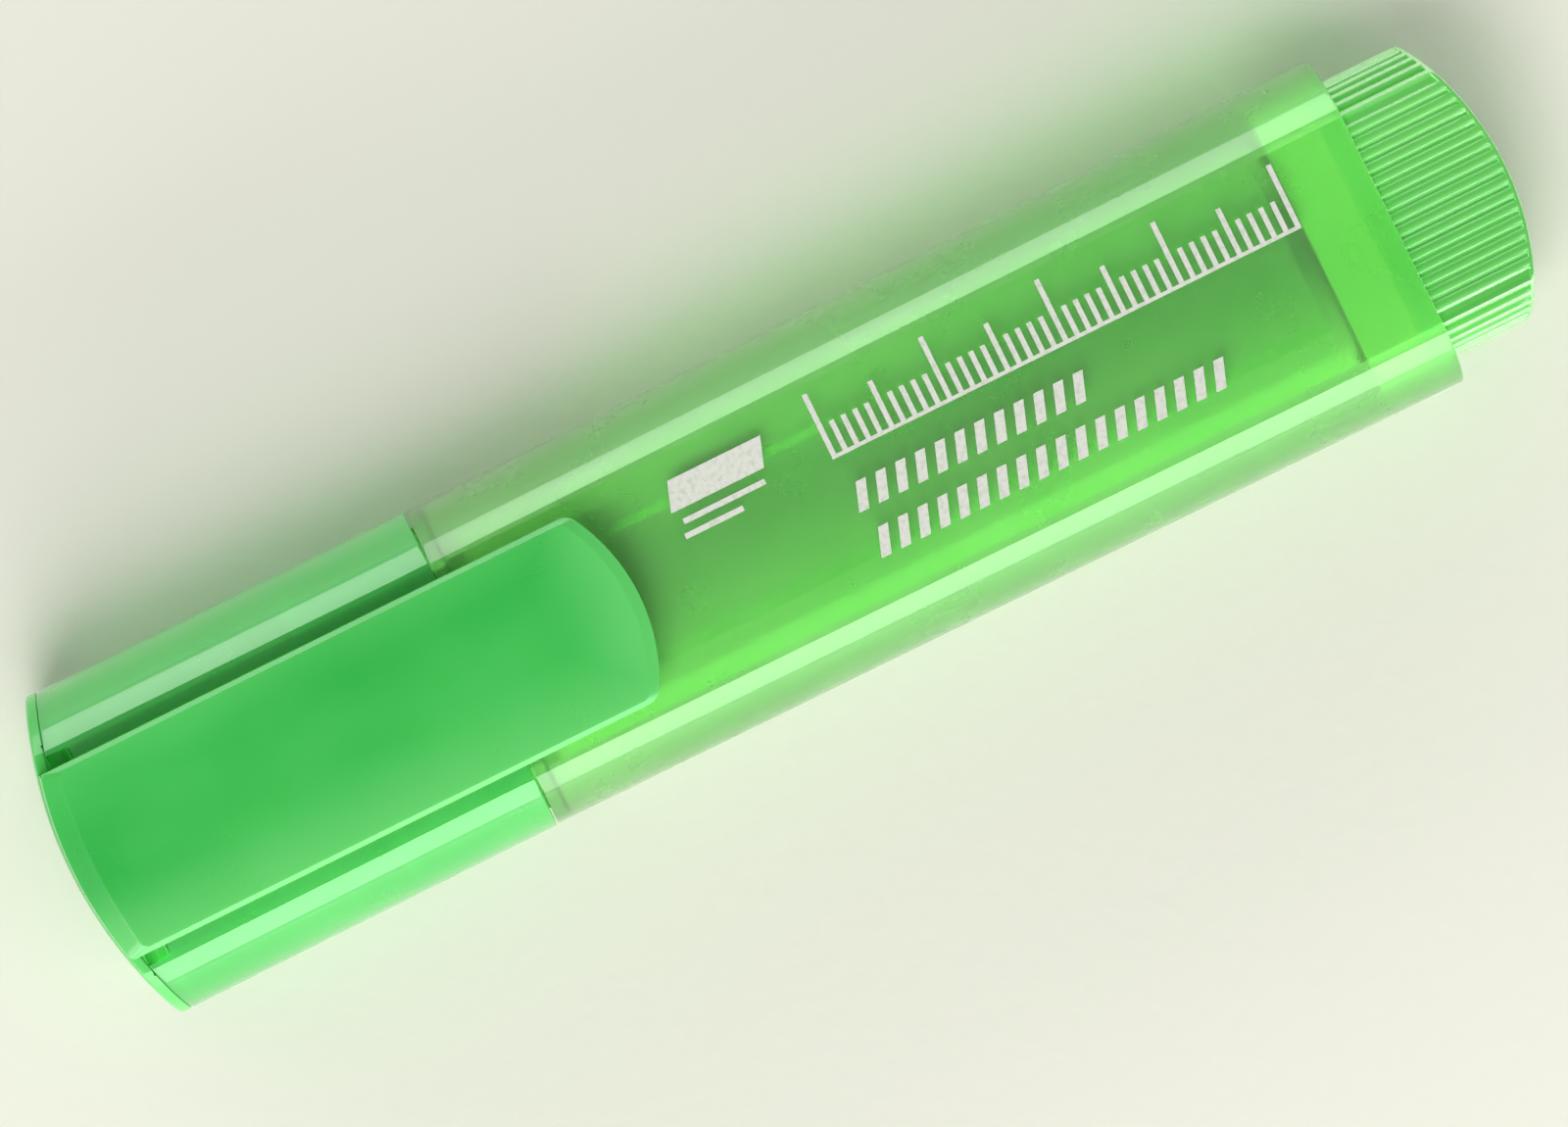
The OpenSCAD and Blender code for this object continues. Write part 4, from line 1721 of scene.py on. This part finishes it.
    def web_ring(self, loft: Loft, z: float, back_x: float) -> Ring:
        """The web seen from above at one height.

        Args:
            loft: The loft to draw in.
            z: The height.
            back_x: Where its back lies.

        Returns:
            The ring.
        """
        half, inset = self.half_w - self.web_inset, self.web_inset
        outline = Outline(Vector((back_x, 0, z)))
        outline.line(Vector((back_x, half, z)), 5)
        outline.line(Vector((CAP_DOME.x(half, z, inset), half, z)), 2)
        outline.line(Vector((CAP_DOME.x(0, z, inset), 0, z)), 11)
        ring = loft.adopt(outline.close())
        for vert in loft.verts_of(ring):
            if vert.co.x < PLACES.end_x + 2.2 * MM and abs(vert.co.y) < half - 1e-6:
                vert.co.x = CAP_DOME.x(vert.co.y, z, inset)
        return ring

    def ridge(self, bottom: float) -> bmesh.types.BMesh:
        """The grip ridge under the tip.

        Args:
            bottom: The leaf's lower face.

        Returns:
            The ridge.
        """
        mesh = bar(self.ridge_r + self.ridge_sink, 2 * (self.half_w - self.ridge_step),
                   PLACES.clip_tip_x - self.ridge_back, bottom + self.ridge_sink, 48)
        cut = bmesh.ops.bisect_plane(mesh, geom=mesh.verts[:] + mesh.edges[:] + mesh.faces[:],
                                     plane_co=(0, 0, bottom + 0.4 * MM), plane_no=(0, 0, 1),
                                     clear_outer=True)["geom_cut"]
        bmesh.ops.contextual_create(mesh, geom=[g for g in cut if isinstance(g, bmesh.types.BMEdge)])
        bmesh.ops.recalc_face_normals(mesh, faces=mesh.faces)
        return mesh


# ---------------------------------------------------------------- studio


@dataclass
class Studio:
    """The floor, the soft light and the camera."""

    floor_colour: Colour = (0.8, 0.79, 0.7)
    floor_half: float = 1.5
    horizon: float = 0.52
    zenith: float = 0.18
    lens: float = 293.8
    camera_place: tuple[float, float, float] = (-24.2 * MM, 30.6 * MM, 1002.2 * MM)
    camera_tilt: tuple[float, float, float] = (-1.17, -2.02, -26.34)
    softboxes: tuple[tuple, ...] = (("softbox_key", (0.02, -0.42, 0.13), (1.1, 0.22), 3.2),
                                    ("softbox_fill", (0.0, 0.42, 0.12), (1.1, 0.16), 3.1),
                                    ("softbox_top", (-0.4, -0.5, 0.9), (0.7, 0.7), 5.5))

    def build(self) -> None:
        """Builds the stage, the light and the camera."""
        self.floor()
        self.world()
        for name, place, size, radiance in self.softboxes:
            self.softbox(name, place, size, radiance)
        self.camera()

    def floor(self) -> None:
        """A plain pale floor under the pen."""
        mesh = bmesh.new()
        bmesh.ops.create_grid(mesh, x_segments=8, y_segments=8, size=self.floor_half)
        item = bpy.data.objects.new("floor", mesh_from(mesh, "floor"))
        bpy.context.scene.collection.objects.link(item)
        bench = NodeBench("floor_paper")
        tone = bench.blend(bench.noise(6, 3.0), self.floor_colour, tuple(0.97 * c for c in self.floor_colour))
        shader = bench.add("ShaderNodeBsdfPrincipled", Base_Color=tone, Roughness=0.85)
        bench.feed(shader.inputs["Normal"], bench.bump(bench.noise(700, 4.0), 0.03 * MM))
        bench.feed(bench.output.inputs["Surface"], shader.outputs["BSDF"])
        item.data.materials.append(bench.material)

    def world(self) -> None:
        """A soft surround, pale at the horizon and dim overhead."""
        world = bpy.data.worlds.new("studio")
        world.use_nodes = True
        bpy.context.scene.world = world
        tree = world.node_tree
        background = tree.nodes["Background"]
        where = tree.nodes.new("ShaderNodeTexCoord")
        parts = tree.nodes.new("ShaderNodeSeparateXYZ")
        ramp = tree.nodes.new("ShaderNodeMapRange")
        tree.links.new(where.outputs["Generated"], parts.inputs[0])
        tree.links.new(parts.outputs["Z"], ramp.inputs["Value"])
        ramp.inputs["From Min"].default_value, ramp.inputs["From Max"].default_value = 0.0, 0.9
        ramp.inputs["To Min"].default_value, ramp.inputs["To Max"].default_value = self.horizon, self.zenith
        tree.links.new(ramp.outputs["Result"], background.inputs["Strength"])
        background.inputs["Color"].default_value = (1.0, 1.0, 0.98, 1.0)

    def softbox(self, name: str, place: tuple[float, float, float], size: tuple[float, float],
                radiance: float) -> None:
        """A softbox that faces the pen.

        Args:
            name: The lamp's name.
            place: Where it stands.
            size: Its length and height.
            radiance: How bright its face is, beside a white background of 1.
        """
        lamp = bpy.data.lights.new(name, "AREA")
        lamp.shape, lamp.size, lamp.size_y = "RECTANGLE", *size
        lamp.energy = radiance * math.pi * size[0] * size[1]
        item = bpy.data.objects.new(name, lamp)
        item.location = place
        item.rotation_euler = (-Vector(place)).to_track_quat("-Z", "Y").to_euler()
        bpy.context.scene.collection.objects.link(item)

    def camera(self) -> None:
        """A long lens that looks down on the pen from above."""
        data = bpy.data.cameras.new("camera")
        data.lens, data.sensor_width = self.lens, 36.0
        data.clip_start, data.clip_end = 0.05, 20.0
        item = bpy.data.objects.new("camera", data)
        item.location = self.camera_place
        item.rotation_euler = Euler([math.radians(a) for a in self.camera_tilt], "YXZ")
        item.rotation_mode = "YXZ"
        bpy.context.scene.collection.objects.link(item)
        bpy.context.scene.camera = item


def main() -> None:
    """Builds the pen and its studio."""
    logging.basicConfig(level=logging.INFO, format="%(name)s: %(message)s")
    bpy.context.scene.view_settings.view_transform = "Standard"
    Studio().build()
    pieces: list[Piece] = []
    for assembly in (BarrelAssembly(), PrintMarks(), EndPlug(), CapAssembly(), Clip()):
        pieces += assembly.build()
    LOG.info("%d pieces", len(pieces))


if __name__ == "__main__":
    main()
